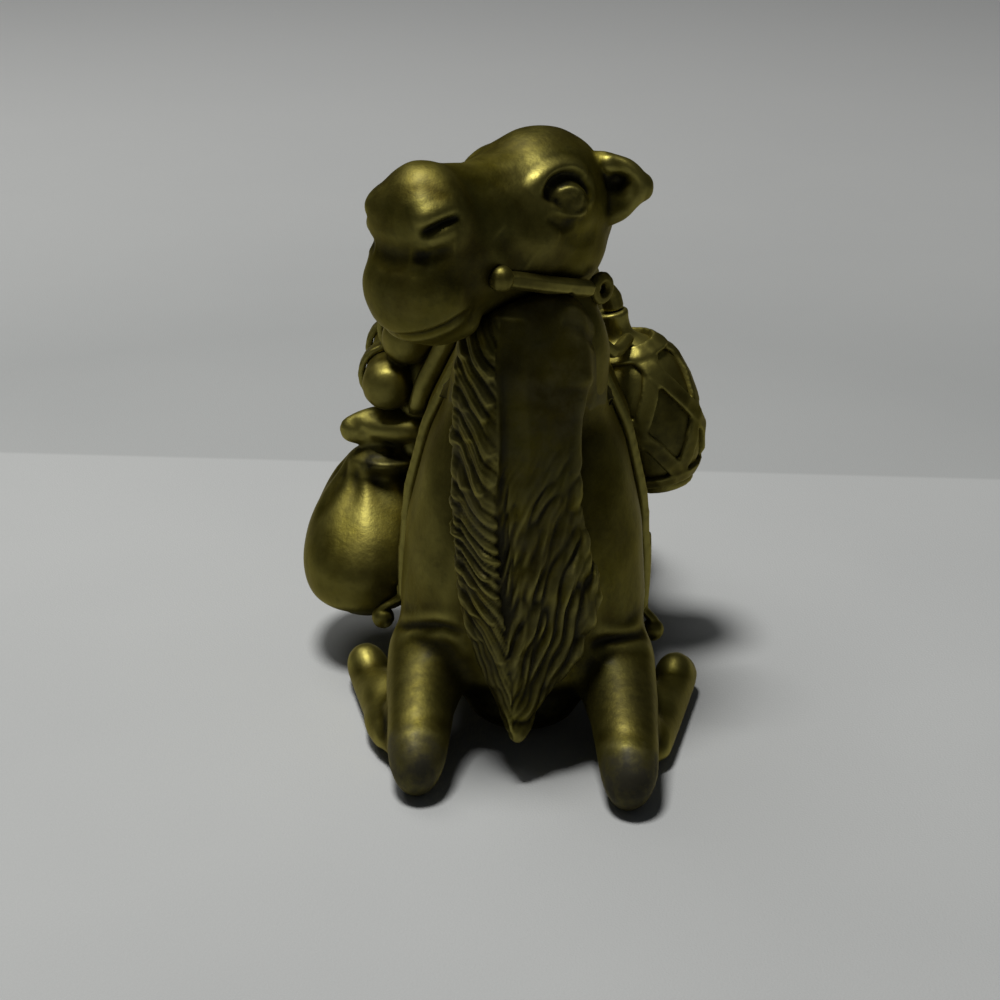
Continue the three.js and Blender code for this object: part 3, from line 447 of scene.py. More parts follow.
def brassMaterial(name, wearAndHighlightGain=1.0, darkness=1.0, dust=0.0, bareness=0.0):
    material = bpy.data.materials.new(name)
    material.use_nodes = True
    tree = material.node_tree
    shader = tree.nodes["Principled BSDF"]
    look = agedBrass
    w = Wire(tree)
    place = w.node("ShaderNodeTexCoord", out="Object")

    def mark(key):
        return w.node("ShaderNodeAttribute", {"attribute_name": key}, out="Fac")

    def speckle(key):
        return w.noise(place, *look[key + "Noise"])

    def patch(noisy, key, gain=1.0):
        level, contrast = look[key + "Patch"]
        return ((noisy - level) * (contrast * gain)).clamp()

    def tone(key):
        return colour(*look[key])

    recessAndShade, wearAndHighlight, scuff = mark("recessAndShade"), mark("wearAndHighlight"), mark("scuff")
    blotch = speckle("blotch")
    uneven = blotch - look["noiseMiddle"]
    tinge = patch(speckle("cloud"), "olive").blend(tone("umber"), tone("olive"))
    mossy = patch(speckle("moss"), "moss") * look["mossShare"]
    base = mossy.blend(tinge, tone("moss"))
    # bright bare metal where worn, and painted highlight where the wear mark carries it
    shineAndHighlight = ((wearAndHighlight + uneven * look["blotchOnShine"]) * wearAndHighlightGain + bareness).clamp()
    bright = shineAndHighlight.blend(base, tone("rubbedAndHighlight"))
    stain = patch(speckle("stain"), "stain") * look["stainShare"]
    flecks = (speckle("fleck") - look["noiseMiddle"]) * look["fleckOnDirt"]
    # dark patina in hollows, stains, blotches and flecks, and painted shade where the recess mark carries
    # it
    dirtAndShade = ((recessAndShade + stain + uneven * look["blotchOnDirt"] + flecks) * darkness).clamp()
    agedAndShaded = dirtAndShade.blend(bright, tone("patinaAndShade"))
    powder = patch(blotch, "dust", dust)
    dusted = powder.blend(agedAndShaded, tone("dusty"))
    inSpot = (scuff * look["scuffEdge"]).clamp()
    grey = ((scuff + uneven * look["blotchOnScuff"]) * inSpot).clamp()
    worn = grey.blend(dusted, tone("scuffed"))
    rough = look["roughness"] + uneven * look["rougher"]["blotch"]
    for key, wire in (("dirtAndShade", dirtAndShade), ("shineAndHighlight", shineAndHighlight), ("scuff", grey), ("dust", powder)):
        rough = rough + wire * look["rougher"][key]
    dull = (grey + powder) * look["lessMetal"]["dull"]
    metal = look["metallic"] - dirtAndShade * look["lessMetal"]["dirtAndShade"] - dull
    lumps = blotch * look["bumps"]["blotch"]
    for key in ("speck", "lump"):
        lumps = lumps + speckle(key) * look["bumps"][key]
    size = {"Strength": look["bumpStrength"], "Distance": look["bumpDepth"] / metre}
    bump = w.node("ShaderNodeBump", None, {**size, "Height": lumps})
    wires = {"Base Color": worn, "Roughness": rough.clamp(), "Metallic": metal.clamp(), "Normal": bump}
    for key, wire in wires.items():
        tree.links.new(wire.socket, shader.inputs[key])
    shader.inputs["Specular Tint"].default_value = tone("edge")
    shader.inputs["Coat Weight"].default_value = look["lacquer"]
    shader.inputs["Coat Roughness"].default_value = look["lacquerRoughness"]
    return material


# recesses hold dark patina and raised places are rubbed: how far a skin lies off its smoothed self; spots
# of painted highlight and painted shade go into the same two marks
patinaAndPaintedLightLook = {
    "share": 0.6,
    "passes": 60,
    "finePasses": 10,
    # gain of the fine measure, gain of the coarse one
    "recessAndShade": (5.0, 1.6),
    "wearAndHighlight": (4.0, 1.1),
    "coarseWear": 0.7,
    "paintedSpotEdge": 1.3,
}


# patina in the hollows and wear on raised places, with spots of painted highlight and painted shade added
# to the same marks
def givePatinaAndPaintedLight(casting, scuff=None, paintedLight=()):
    smoothed = casting.points.copy()

    def hollow():
        return ((smoothed - casting.points) * casting.normals).sum(1)

    for k in range(patinaAndPaintedLightLook["passes"]):
        if k == patinaAndPaintedLightLook["finePasses"]:
            fine = hollow()
        smoothed += patinaAndPaintedLightLook["share"] * (casting.average(smoothed) - smoothed)
    coarse = hollow()
    fineGain, coarseGain = patinaAndPaintedLightLook["recessAndShade"]
    recessAndShade = np.clip(fine * fineGain, 0, 1) + np.clip(coarse * coarseGain, 0, 1)
    fineGain, coarseGain = patinaAndPaintedLightLook["wearAndHighlight"]
    wearAndHighlight = np.clip(-fine * fineGain, 0, 1)
    wearAndHighlight = wearAndHighlight + np.clip(-coarse * coarseGain, 0, 1) * patinaAndPaintedLightLook["coarseWear"]
    for pixel, radius, amount in paintedLight:  # spots of painted highlight, or painted shade where the amount is negative
        spot = casting.seen(pixel)
        if spot is None:
            continue
        here = smoothstep(patinaAndPaintedLightLook["paintedSpotEdge"] - np.linalg.norm(casting.points - spot, axis=1) / radius)
        wearAndHighlight = wearAndHighlight + max(amount, 0) * here
        recessAndShade = recessAndShade + max(-amount, 0) * here
    values = {"recessAndShade": np.clip(recessAndShade, 0, 1), "wearAndHighlight": np.clip(wearAndHighlight, 0, 1)}
    values["scuff"] = np.zeros(len(smoothed)) if scuff is None else scuff
    for key, value in values.items():
        attribute = casting.mesh.attributes.new(key, "FLOAT", "POINT")
        attribute.data.foreach_set("value", value.astype(np.float32))


def show(casting, material, replaced, scuff=None, paintedLight=()):
    givePatinaAndPaintedLight(casting, scuff, paintedLight)
    mesh = casting.mesh
    mesh.polygons.foreach_set("use_smooth", np.ones(len(mesh.polygons), bool))
    mesh.materials.append(material)
    piece = bpy.data.objects.new(casting.name, mesh)
    scene.collection.objects.link(piece)
    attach(piece, "root")
    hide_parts(*replaced)
    print(casting.name, len(mesh.vertices), "points")


bodyBrass = brassMaterial("agedBrass")
maneBrass = brassMaterial("maneBrass", dust=0.8)
loadBrass = brassMaterial("loadBrass", wearAndHighlightGain=1.1, darkness=0.9, bareness=0.1)
bareBrass = brassMaterial("bareBrass", wearAndHighlightGain=1.3, darkness=0.4)


# trunk, tail and legs, with the back of the neck
hideLook = {
    "voxel": 0.5,
    "smoothing": 26,
    "swell": 0.12,
    # plugs in the neck's two joints
    "neckRoot": ((0.0, -18.0, 51.0), (10.5, 10.0, 9.0)),
    "nape": ((0.9, -24.0, 74.0), (6.5, 6.0, 3.0)),
    # the pad under the breast, then fillings behind the load and between forelegs and shins
    "breastPad": ((0.5, -33.5, 8.0), (10.5, 7.0, 7.6)),
    "behindLoad": [
        ((-18.5, 5.0, 49.5), (4.5, 7.0, 5.5)),
        ((-20.0, 3.0, 36.5), (3.0, 5.0, 4.5)),
        ((-19.5, 4.0, 43.5), (4.0, 6.0, 4.0)),
    ],
    "legWebs": [
        ((-19.0, -47.0, 3.3), (4.2, 6.5, 3.2)),
        ((-21.0, -39.0, 3.6), (5.0, 7.5, 3.5)),
        ((-22.0, -31.5, 4.2), (5.0, 6.5, 4.0)),
        ((18.5, -49.0, 3.3), (4.2, 6.5, 3.2)),
        ((21.0, -41.0, 3.6), (5.0, 7.5, 3.5)),
        ((22.0, -33.0, 4.2), (5.0, 6.5, 4.0)),
    ],
    # the neck grows out of the shoulders within this reach of its root
    "neckBlend": 17.0,
    "neckEdge": 1.5,
    "neckSmoothing": 110,
    # where the neck sinks under the mane's piece, and where it swells behind it: start, reach
    "neckFrom": (50.0, 8.0),
    "neckBehind": (-24.0, 6.0),
    "rootBelow": (64.0, -8.0),
    "rootSwell": 1.0,
    "neckSink": 0.7,
    "legSmoothing": 70,
    "legMargin": 2.0,
    # lines over the photograph: pixels, width, height
    "creases": [
        ([(386, 612), (397, 624), (418, 626), (442, 626), (462, 634)], 1.6, -0.5),
        ([(398, 640), (415, 632), (440, 632), (458, 640), (464, 658)], 2.0, 0.3),
        ([(386, 596), (394, 612), (415, 617), (440, 616), (458, 620)], 2.0, 0.25),
        ([(590, 646), (605, 640), (622, 638), (640, 634), (652, 622)], 1.6, -0.5),
        ([(596, 660), (606, 650), (624, 647), (642, 646), (652, 652)], 2.0, 0.3),
        ([(596, 630), (612, 631), (630, 628), (643, 615), (648, 600)], 2.0, 0.25),
        ([(392, 742), (408, 734), (430, 733), (453, 742)], 1.8, 0.15),
        ([(392, 727), (410, 720), (432, 719), (455, 728)], 1.8, -0.12),
        ([(590, 757), (606, 748), (632, 748), (653, 757)], 1.8, 0.15),
        ([(588, 742), (606, 734), (632, 734), (653, 742)], 1.8, -0.12),
    ],
    # round feet at the ends of the folded shins: pixel, radius, height
    "feet": [((364, 655), 5.0, 1.7), ((674, 662), 4.6, 1.4)],
    # the forelegs narrow towards the knees: height where it starts, share lost at the floor,
    # margin round the leg, and how far back it reaches
    "kneeNarrowing": {"top": 15.0, "lost": 0.25, "margin": 1.0, "ahead": (4.0, -6.0)},
    # the knees' fronts are rubbed dull
    "kneeSpot": {"out": 1.2, "back": 2.5, "height": 4.5, "radius": 7.5, "edge": 1.4, "amount": 0.8},
    # spots of painted light and shade: pixel, radius, amount; the forelegs, the knees and the pad under
    # the breast are darkened as painted shade, the left shoulder panel lightened as painted highlight
    "paintedLight": [
        ((427, 680), 9.0, -0.35), ((620, 690), 9.0, -0.6), ((418, 765), 6.0, -0.3),
        ((632, 775), 6.0, -0.3), ((500, 712), 7.0, -0.9), ((553, 712), 7.0, -0.9),
        ((430, 500), 8.0, 0.35), ((432, 560), 8.0, 0.3),
    ],
}
hideParts = ["body_left_shell", "body_right_shell", "tail"]
for part in ("foreleg", "foreshin", "hindleg", "hindshin"):
    hideParts += [part + "_left", part + "_right"]
hiddenParts = ["neck_sleeve", "head_sleeve", "sack_dowel", "jug_dowel", "fringe_dowel"]
hiddenParts += ["seam_dowel_chest", "seam_dowel_rump", "seam_dowel_hump"]
for part in ("foreleg_dowel", "hindleg_dowel"):
    hiddenParts += [part + "_left", part + "_right"]


def makeHide():
    # the neck goes in too, so that it grows out of the shoulders: the mane's piece covers its front
    plugs = [hideLook[key] for key in ("neckRoot", "nape", "breastPad")]
    plugs += hideLook["behindLoad"] + hideLook["legWebs"]
    hide = castFrom("hide", hideParts + ["neck_shell"] + hiddenParts, hideLook["voxel"], plugs=plugs)
    hide.smooth(hideLook["smoothing"])
    away = np.linalg.norm(hide.points - (np.array(hideLook["neckRoot"][0]) + shift), axis=1)
    around = smoothstep(hideLook["neckEdge"] - away / hideLook["neckBlend"])
    hide.smooth(hideLook["neckSmoothing"], where=around)
    _, back, up = (hide.points - shift).T
    neck = ramp(up, *hideLook["neckFrom"]) * around
    swollen = ramp(back, *hideLook["neckBehind"]) * ramp(up, *hideLook["rootBelow"])
    hide.push(hideLook["swell"] + neck * (hideLook["rootSwell"] * swollen - hideLook["neckSink"]))
    shadedCloth = [part + side for part in ("foreleg_", "foreshin_") for side in ("left", "right")]
    legs = hide.near([nodeBox(name) for name in shadedCloth], hideLook["legMargin"])
    hide.smooth(hideLook["legSmoothing"], where=legs)
    for pixels, width, height in hideLook["creases"]:
        hide.stroke(hide.trace(pixels), width, height)
    narrow = hideLook["kneeNarrowing"]
    for side in ("left", "right"):
        low, high = nodeBox("foreleg_" + side)
        middle = (low + high) / 2
        inLeg = hide.near([(low, high)], narrow["margin"])
        inLeg *= smoothstep(1 - (hide.points[:, 2] - low[2]) / narrow["top"])
        inLeg *= ramp(hide.points[:, 1] - middle[1], *narrow["ahead"])
        hide.points[:, 0] -= narrow["lost"] * inLeg * (hide.points[:, 0] - middle[0])
    hide.refresh()
    for pixel, radius, height in hideLook["feet"]:
        hide.dab(np.array(hide.seen(pixel)), radius, height)
    hide.smooth(1)
    spot = hideLook["kneeSpot"]
    scuff = np.zeros(len(hide.points))
    for side, outward in (("left", spot["out"]), ("right", -spot["out"])):
        low, high = nodeBox("foreleg_" + side)
        knee = np.array(((low[0] + high[0]) / 2 + outward, low[1] + spot["back"], spot["height"]))
        away = np.linalg.norm(hide.points - knee, axis=1)
        scuff = np.maximum(scuff, spot["amount"] * smoothstep(spot["edge"] - away / spot["radius"]))
    show(hide, bodyBrass, hideParts, scuff, hideLook["paintedLight"])


# head with its jaw, ears and eyes
headLook = {
    "voxel": 0.3,
    "smoothing": 60,
    "swell": 0.1,
    "at": (0.6, -23.0, 87.0),
    "turn": -41.0,
    "napePlug": ((0.9, -24.0, 73.5), (6.5, 6.0, 3.0)),
    # the ears keep most of their shape when the head is smoothed
    "earMargin": 1.5,
    "earKeep": 0.8,
    "lastSmoothing": 2,
}


def headAxes():
    a = math.radians(headLook["turn"])
    return np.array(((math.cos(a), -math.sin(a), 0), (math.sin(a), math.cos(a), 0), (0, 0, 1)))


def offHead(points):
    return (np.asarray(points) - shift - np.array(headLook["at"])) @ headAxes()


def onHead(points):
    return np.asarray(points) @ headAxes().T + np.array(headLook["at"]) + shift


def mirrored(points):
    return onHead(offHead(points) * (-1, 1, 1))


def onBothSides(work, place, *sizes):
    work(place, *sizes)
    work(mirrored(place), *sizes)


# lines over the photograph's side of the face: pixels, width, height
# these two go in before the eyeball
eyeLines = {
    "brow": ([(531, 194), (540, 180), (552, 171), (567, 166), (579, 168), (587, 175)], 2.3, 0.7),
    "socket": ([(548, 202), (549, 190), (556, 180), (568, 175),
                (580, 178), (588, 187), (591, 200)], 1.7, -1.0),
}
eyeBall = {"pixel": (571, 199), "radius": 2.1, "height": 0.85}
faceLines = {
    "orbit": ([(584, 174), (590, 186), (591, 198), (589, 209)], 1.4, 0.3),
    "upperLid": ([(556, 200), (560, 192), (569, 188), (578, 190), (585, 198)], 0.8, 0.35),
    "lowerLid": ([(551, 206), (558, 211), (568, 214), (579, 214), (587, 210)], 1.0, 0.5),
    "underEye": ([(546, 218), (561, 225), (576, 224)], 1.6, -0.4),
    "nostril": ([(419, 235), (431, 230), (446, 222), (461, 217)], 1.35, -1.0),
    "nostrilTop": ([(413, 224), (428, 216), (446, 209), (459, 205)], 2.2, 0.3),
    "nostrilFlap": ([(426, 245), (440, 239), (457, 231)], 1.3, 0.25),
    "flapCrease": ([(412, 258), (428, 257), (441, 253), (454, 249)], 1.7, -0.45),
    "lipCrease": ([(373, 250), (385, 254), (399, 257), (414, 258), (430, 262)], 3.2, -0.4),
    "mouth": ([(384, 333), (400, 337), (416, 337), (433, 333), (451, 325), (470, 312)], 1.5, -0.65),
    "cheekFront": ([(500, 232), (512, 252), (530, 262)], 3.0, -0.4),
    "cheekTop": ([(560, 232), (580, 238), (596, 232)], 2.5, -0.35),
    "earRim": ([(602, 157), (615, 158), (630, 166), (641, 179),
                (643, 189), (638, 202), (625, 216)], 1.2, 0.4),
}
# round places: pixel, radius, height
faceDabs = {
    "eyeHollow": ((569, 197), 4.2, -0.9),
    "browBump": ((543, 172), 4.5, 0.6),
    "cheek": ((543, 243), 5.0, 0.5),
    "lip": ((416, 286), 6.5, 0.5),
    "noseFront": ((423, 222), 5.5, 0.8),
    "noseTop": ((432, 186), 5.0, -0.35),
    "noseBridge": ((476, 190), 7.0, -0.5),
    "earBowl": ((618, 183), 2.4, -1.1),
    "earLobe": ((631, 193), 2.6, 0.6),
    "earRoot": ((608, 166), 2.0, 0.6),
}
# spots of painted light and shade: pixel, radius, amount; painted highlights on the brow, cheek and ear,
# painted shade in the eye, near the halter knob and on the crown
facePaintedLight = [
    ((545, 175), 6.0, 0.9), ((541, 236), 6.0, 0.25), ((628, 178), 4.0, 0.35), ((575, 200), 3.6, -0.5),
    ((472, 275), 5.0, -0.3), ((525, 147), 8.0, -0.3),
]


def makeHead():
    members = ["head_shell", "lower_jaw", "ear_left", "ear_right", "eye_left", "eye_right"]
    head = castFrom("head", members + ["head_sleeve"], headLook["voxel"], plugs=[headLook["napePlug"]])
    ears = head.near([nodeBox(name) for name in ("ear_left", "ear_right")], headLook["earMargin"])
    head.smooth(headLook["smoothing"], where=1 - headLook["earKeep"] * ears)
    head.push(headLook["swell"])
    for pixel, radius, height in faceDabs.values():
        onBothSides(head.dab, np.array(head.seen(pixel)), radius, height)
    for pixels, width, height in eyeLines.values():
        onBothSides(head.stroke, head.trace(pixels), width, height)
    spot = np.array(head.seen(eyeBall["pixel"]))
    onBothSides(head.dome, spot, eyeBall["radius"], eyeBall["height"])
    for pixels, width, height in faceLines.values():
        onBothSides(head.stroke, head.trace(pixels), width, height)
    head.smooth(headLook["lastSmoothing"])
    show(head, bodyBrass, members, paintedLight=facePaintedLight)


# mane down the throat, in one piece with the front of the neck
maneLook = {
    "voxel": 0.3,
    "smoothing": 30,
    # plugs in the neck's two joints
    "plugs": [((0.9, -24.0, 74.0), (7.0, 6.0, 3.0)), ((0.0, -18.0, 50.0), (10.0, 9.0, 9.0))],
    # how far off its solid the skin counts as hair, and how far the hair's pull reaches
    "hairReach": 0.9,
    "pullReach": 3.5,
    "hairLimit": 0.5,
    # up at the throat the hair runs out into the neck: start, reach
    "throatFrom": (50.0, 11.0),
    "throatSmoothing": 450,
    "throat": ((545, 345), 11.0, -1.2),  # hollow of the throat: pixel, radius, height
    "seamSmoothing": 90,
    # the neck's root goes in under the hide: depth, then start and reach
    "rootSink": 1.4,
    "rootBehind": (-27.0, 4.0),
    "rootBelow": (62.0, -7.0),
    # the mane's two outlines in the photograph, the line between them and where the pull sets in
    "leftEdge": [(452, 345), (452, 500), (455, 570), (458, 592),
                 (466, 630), (482, 678), (498, 707), (507, 733)],
    "rightEdge": [(607, 345), (604, 366), (588, 390), (582, 420), (581, 480),
                  (584, 530), (592, 556), (601, 575), (602, 598), (595, 620),
                  (582, 647), (563, 683), (547, 701), (533, 728), (522, 745)],
    "midPixel": 512.0,
    "edgeRows": (372.0, 392.0),
    # rows in which the skin's own outline is found: first, end, step, half height, rows evened out
    "rows": (360.0, 752.0, 6.0),
    "rowReach": 5.0,
    "rowSpan": 5,
    "leastWidth": 1.0,
    "pastEdge": 0.15,
    # rows in which the ridge that parts the hair is found
    "crestRows": 60,
    "crestSpan": 9,
    # skin that faces back this far carries no hair: start, reach
    "front": (0.45, -0.3),
    "tip": (5.0, 6.0),  # the hair runs out towards its tip: start, reach
    # waves in the hair: scale, depth
    "waves": ((9.0, 1.1), (3.4, 0.5)),
    "waveStretch": (1, 1, 0.55),
    "lastShare": 0.25,  # of one last smoothing
    # lines over the photograph: pixels, width, height
    "lines": [
        ([(508, 318), (504, 400), (508, 450), (504, 500), (507, 560), (506, 620), (512, 660)], 3.8, -1.6),
        ([(545, 284), (572, 291), (596, 304), (609, 318)], 2.0, -0.5),
        ([(556, 309), (577, 314), (596, 330), (604, 346)], 2.2, 0.22),
        ([(562, 322), (582, 331), (598, 348)], 1.8, -0.35),
        ([(494, 360), (496, 430), (492, 500), (491, 560), (497, 620), (506, 680)], 1.6, 0.6),
        ([(580, 400), (577, 450), (578, 520), (590, 565),
          (597, 598), (588, 630), (570, 665), (548, 695)], 1.5, 0.5),
        ([(456, 352), (455, 420), (456, 500), (461, 580), (470, 625), (484, 670), (501, 705)], 1.4, 0.5),
    ],
    "lineSteps": 40,
    "lineTaper": 0.3,
}
# left of the ridge: tufts with finer hair on them
leftHair = {
    # steepness low down, what is added higher up, and between which heights
    "steep": (4.5, -3.2, 10.0, 46.0),
    "below": (78.0, -8.0),  # heights under which it grows: start, reach
    "tuftSpace": 2.4,
    "tuftDepth": 0.85,
    "tuftLength": 7.0,
    "hairSpace": 0.8,
    "hairDepth": 0.26,
    "stray": (0.25, 2.5),  # how far the hairs stray, and the noise's scale
    # places with more hair and less: scale, contrast, least share
    "patches": (6.0, 2.0, 0.5),
    # towards the tip the tufts get lower and the hair stronger: start, reach, shares
    "finer": (34.0, -18.0),
    "tuftLoss": 0.55,
    "hairGain": 0.5,
    "tuftMiddle": 0.5,
    "hairMiddle": 0.6,
}
# right of the ridge: thinner hair, in loose uneven strands
rightHair = {
    "steep": (1.7, 0.6, 8.0, 44.0),
    "below": (56.0, -14.0),
    "tuftSpace": 1.7,
    "tuftDepth": 0.95,
    "tuftLength": 6.5,
    "hairDepth": 0.5,
    "looseGain": 2.2,
    "looseMiddle": 0.5,
    "wispFineness": (2.6, 1.5, 1),
    # weaker higher up: start, reach, least share
    "fuller": (46.0, -22.0),
    "leastShare": 0.45,
}
# one strand: roundness, least fullness and how much more; tufts on it: offset, least height and
# how much more, length of the root and of the end
strandLook = {
    "roundness": 0.7,
    "fullness": (0.65, 0.7),
    "offset": 0.37,
    "height": (0.45, 0.75),
    "root": 0.8,
    "end": 0.12,
}
drawSteps = (12.9898, 4.1414, 43758.5453)  # spread the fixed draws
hairSeeds = {"hair": 8, "tuft": 3, "stray": 3, "patch": 4, "loose": 5, "wisp": 6}


def drawIn(mane, hairy, share):
    # pulls the mane's outlines to those of the photograph, row by row
    across, down, depth = pixelsOf(mane.points)
    rows = np.arange(*maneLook["rows"])
    middle = maneLook["midPixel"]
    fade = ramp(down, maneLook["edgeRows"][0], np.ptp(maneLook["edgeRows"]))
    hair = np.flatnonzero(hairy > maneLook["hairLimit"])
    least = maneLook["leastWidth"]
    move = np.zeros(len(across))
    for key, side in (("leftEdge", -1.0), ("rightEdge", 1.0)):
        wanted = np.array(maneLook[key], float)
        reach = side * (across - middle)
        inRow = [hair[np.abs(down[hair] - row) < maneLook["rowReach"]] for row in rows]
        span = evenOut([reach[found].max(initial=least) for found in inRow], maneLook["rowSpan"])
        now = np.interp(down, rows, span)
        then = np.maximum(side * (np.interp(down, wanted[:, 1], wanted[:, 0]) - middle), least)
        past = then + maneLook["pastEdge"] * (reach - now)
        new = np.where(reach < now, reach * then / now, past)
        move += np.where(reach > 0, side * (new - reach), 0.0)
    shove = share * fade * move * depth / photoView["focalPixels"]
    mane.points += shove[:, None] * cameraRight
    mane.refresh()


def chance(number, seed):
    # a fixed draw from 0 to 1 for each whole number
    step, seedStep, spread = drawSteps
    return (np.sin(number * step + seed * seedStep) * spread) % 1.0


def strands(run, spacing, seed):
    # rounded strands side by side, each with its own fullness
    own = chance(np.floor(run / spacing), seed)
    least, more = strandLook["fullness"]
    arch = np.abs(np.sin(math.pi * run / spacing)) ** strandLook["roundness"]
    return arch * (least + more * own), own


def tufts(run, along, spacing, length, seed):
    # strands broken into tufts that lie over each other like shingles, thickest near their ends
    lock, own = strands(run, spacing, seed)
    place = (along / length + own + strandLook["offset"] * np.floor(run / spacing)) % 1.0
    least, more = strandLook["height"]
    shape = smoothstep(1 - place / strandLook["root"]) * smoothstep(place / strandLook["end"])
    return lock * (least + more * shape), own


def comb(look, up, off, warp):
    # ways across the strands and along them, from the edge down to the ridge
    start, more, foot, top = look["steep"]
    steep = start + more * ramp(up, foot, top - foot)
    slant = np.sqrt(1 + steep**2)
    return (up - steep * off) / slant + warp, (steep * up + off) / slant


def tuftedHair(p, run, along):
    look = leftHair
    tuft, own = tufts(run, along, look["tuftSpace"], look["tuftLength"], hairSeeds["tuft"])
    amount, scale = look["stray"]
    stray = amount * grain(p, scale, hairSeeds["stray"])
    hair, _ = strands(run + stray + own, look["hairSpace"], hairSeeds["hair"])
    scale, contrast, least = look["patches"]
    patch = np.clip(grain(p, scale, hairSeeds["patch"]) * contrast + 0.5, 0, 1)
    patch = least + (1 - least) * patch
    low = ramp(p[:, 2], *look["finer"])
    coarse = (1 - look["tuftLoss"] * low) * look["tuftDepth"] * (tuft - look["tuftMiddle"])
    fine = (patch + look["hairGain"] * low) * look["hairDepth"] * (hair - look["hairMiddle"])
    return coarse + fine


def looseHair(p, run, along):
    look = rightHair
    combed = np.stack((run / look["tuftSpace"], along / look["tuftLength"], np.zeros(len(p))), 1)
    loose = np.abs(grain(combed, 1.0, hairSeeds["loose"])) * look["looseGain"] - look["looseMiddle"]
    wisps = grain(combed * look["wispFineness"], 1.0, hairSeeds["wisp"])
    least = look["leastShare"]
    full = least + (1 - least) * ramp(p[:, 2], *look["fuller"])
    return (look["tuftDepth"] * loose + look["hairDepth"] * wisps) * full


def findRidge(p, hairy):
    # sideways distance to the ridge that parts the hair, found row by row as the foremost point
    up = p[:, 2]
    fringe = np.flatnonzero(hairy > maneLook["hairLimit"])
    rows = np.linspace(up[fringe].min(), up[fringe].max(), maneLook["crestRows"])
    crest = []
    for low, high in zip(rows[:-1], rows[1:]):
        inside = fringe[(up[fringe] >= low) & (up[fringe] <= high)]
        crest.append(p[inside[np.argmin(p[inside, 1])], 0])
    crest = evenOut(crest, maneLook["crestSpan"])
    return p[:, 0] - np.interp(up, (rows[:-1] + rows[1:]) / 2, crest)


def makeMane():
    members = ["neck_fringe", "neck_shell"]
    hidden = ["fringe_dowel", "neck_sleeve", "head_sleeve"]
    mane = castFrom("maneAndNeck", members + hidden, maneLook["voxel"], plugs=maneLook["plugs"])
    hairy = mane.close("neck_fringe", maneLook["hairReach"])
    up = mane.points[:, 2] - shift[2]
    mane.smooth(maneLook["smoothing"])
    mane.smooth(maneLook["throatSmoothing"], where=ramp(up, *maneLook["throatFrom"]))
    share = mane.close("neck_fringe", maneLook["pullReach"])
    drawIn(mane, hairy, share)
    mane.smooth(maneLook["seamSmoothing"], where=4 * share * (1 - share) * (1 - hairy))
    sunk = ramp(up, *maneLook["rootBelow"])
    sunk = sunk * ramp(mane.points[:, 1] - shift[1], *maneLook["rootBehind"]) * (1 - share)
    mane.push(-maneLook["rootSink"] * sunk)
    pixel, radius, height = maneLook["throat"]
    mane.dab(np.array(mane.seen(pixel)), radius, height)
    p = mane.points - shift
    up = p[:, 2]
    aside = findRidge(p, hairy)
    front = ramp(mane.normals[:, 1], *maneLook["front"]) * hairy
    for pixels, width, height in maneLook["lines"]:
        mane.stroke(mane.trace(pixels, maneLook["lineSteps"]), width, height, maneLook["lineTaper"])
    off, left = np.abs(aside), aside < 0
    warp = np.zeros(len(p))
    for seed, (scale, depth) in enumerate(maneLook["waves"], 1):
        warp += depth * grain(p * maneLook["waveStretch"], scale, seed)
    leftRelief = tuftedHair(p, *comb(leftHair, up, off, warp))
    rightRelief = looseHair(p, *comb(rightHair, up, off, warp))
    throat = np.where(left, ramp(up, *leftHair["below"]), ramp(up, *rightHair["below"]))
    fade = ramp(up, *maneLook["tip"]) * throat * front
    mane.push(fade * np.where(left, leftRelief, rightRelief))
    mane.smooth(1, maneLook["lastShare"])
    show(mane, maneBrass, members)


# saddle cloth and pad, each with a rolled hem along its front edge
clothLook = {
    "voxel": 0.5,
    "smoothing": 19,
    "padSmoothing": 38,
    "hemWidth": 1.4,
    "hemHeight": 0.35,
    "padHem": 0.3,  # share of the cloth's hem
    # groove behind the hem, in hem widths
    "grooveDepth": 0.2,
    "grooveAt": 1.3,
    "grooveWidth": 0.45,
    "lastSmoothing": 2,
}


def makeCloth(name, member, smoothing, hem=1.0):
    cloth = castFrom(name, [member], clothLook["voxel"])
    cloth.smooth(smoothing)
    edge = nodeBox(member)[0][1]
    along = np.clip((cloth.points[:, 1] - edge) / clothLook["hemWidth"], 0, 2)
    roll = clothLook["hemHeight"] * np.sqrt(np.clip(4 * along * (1 - along), 0, 1))
    groove = smoothstep(1 - np.abs(along - clothLook["grooveAt"]) / clothLook["grooveWidth"])
    cloth.push(hem * (roll - clothLook["grooveDepth"] * groove))
    cloth.smooth(clothLook["lastSmoothing"])
    show(cloth, loadBrass, [member])


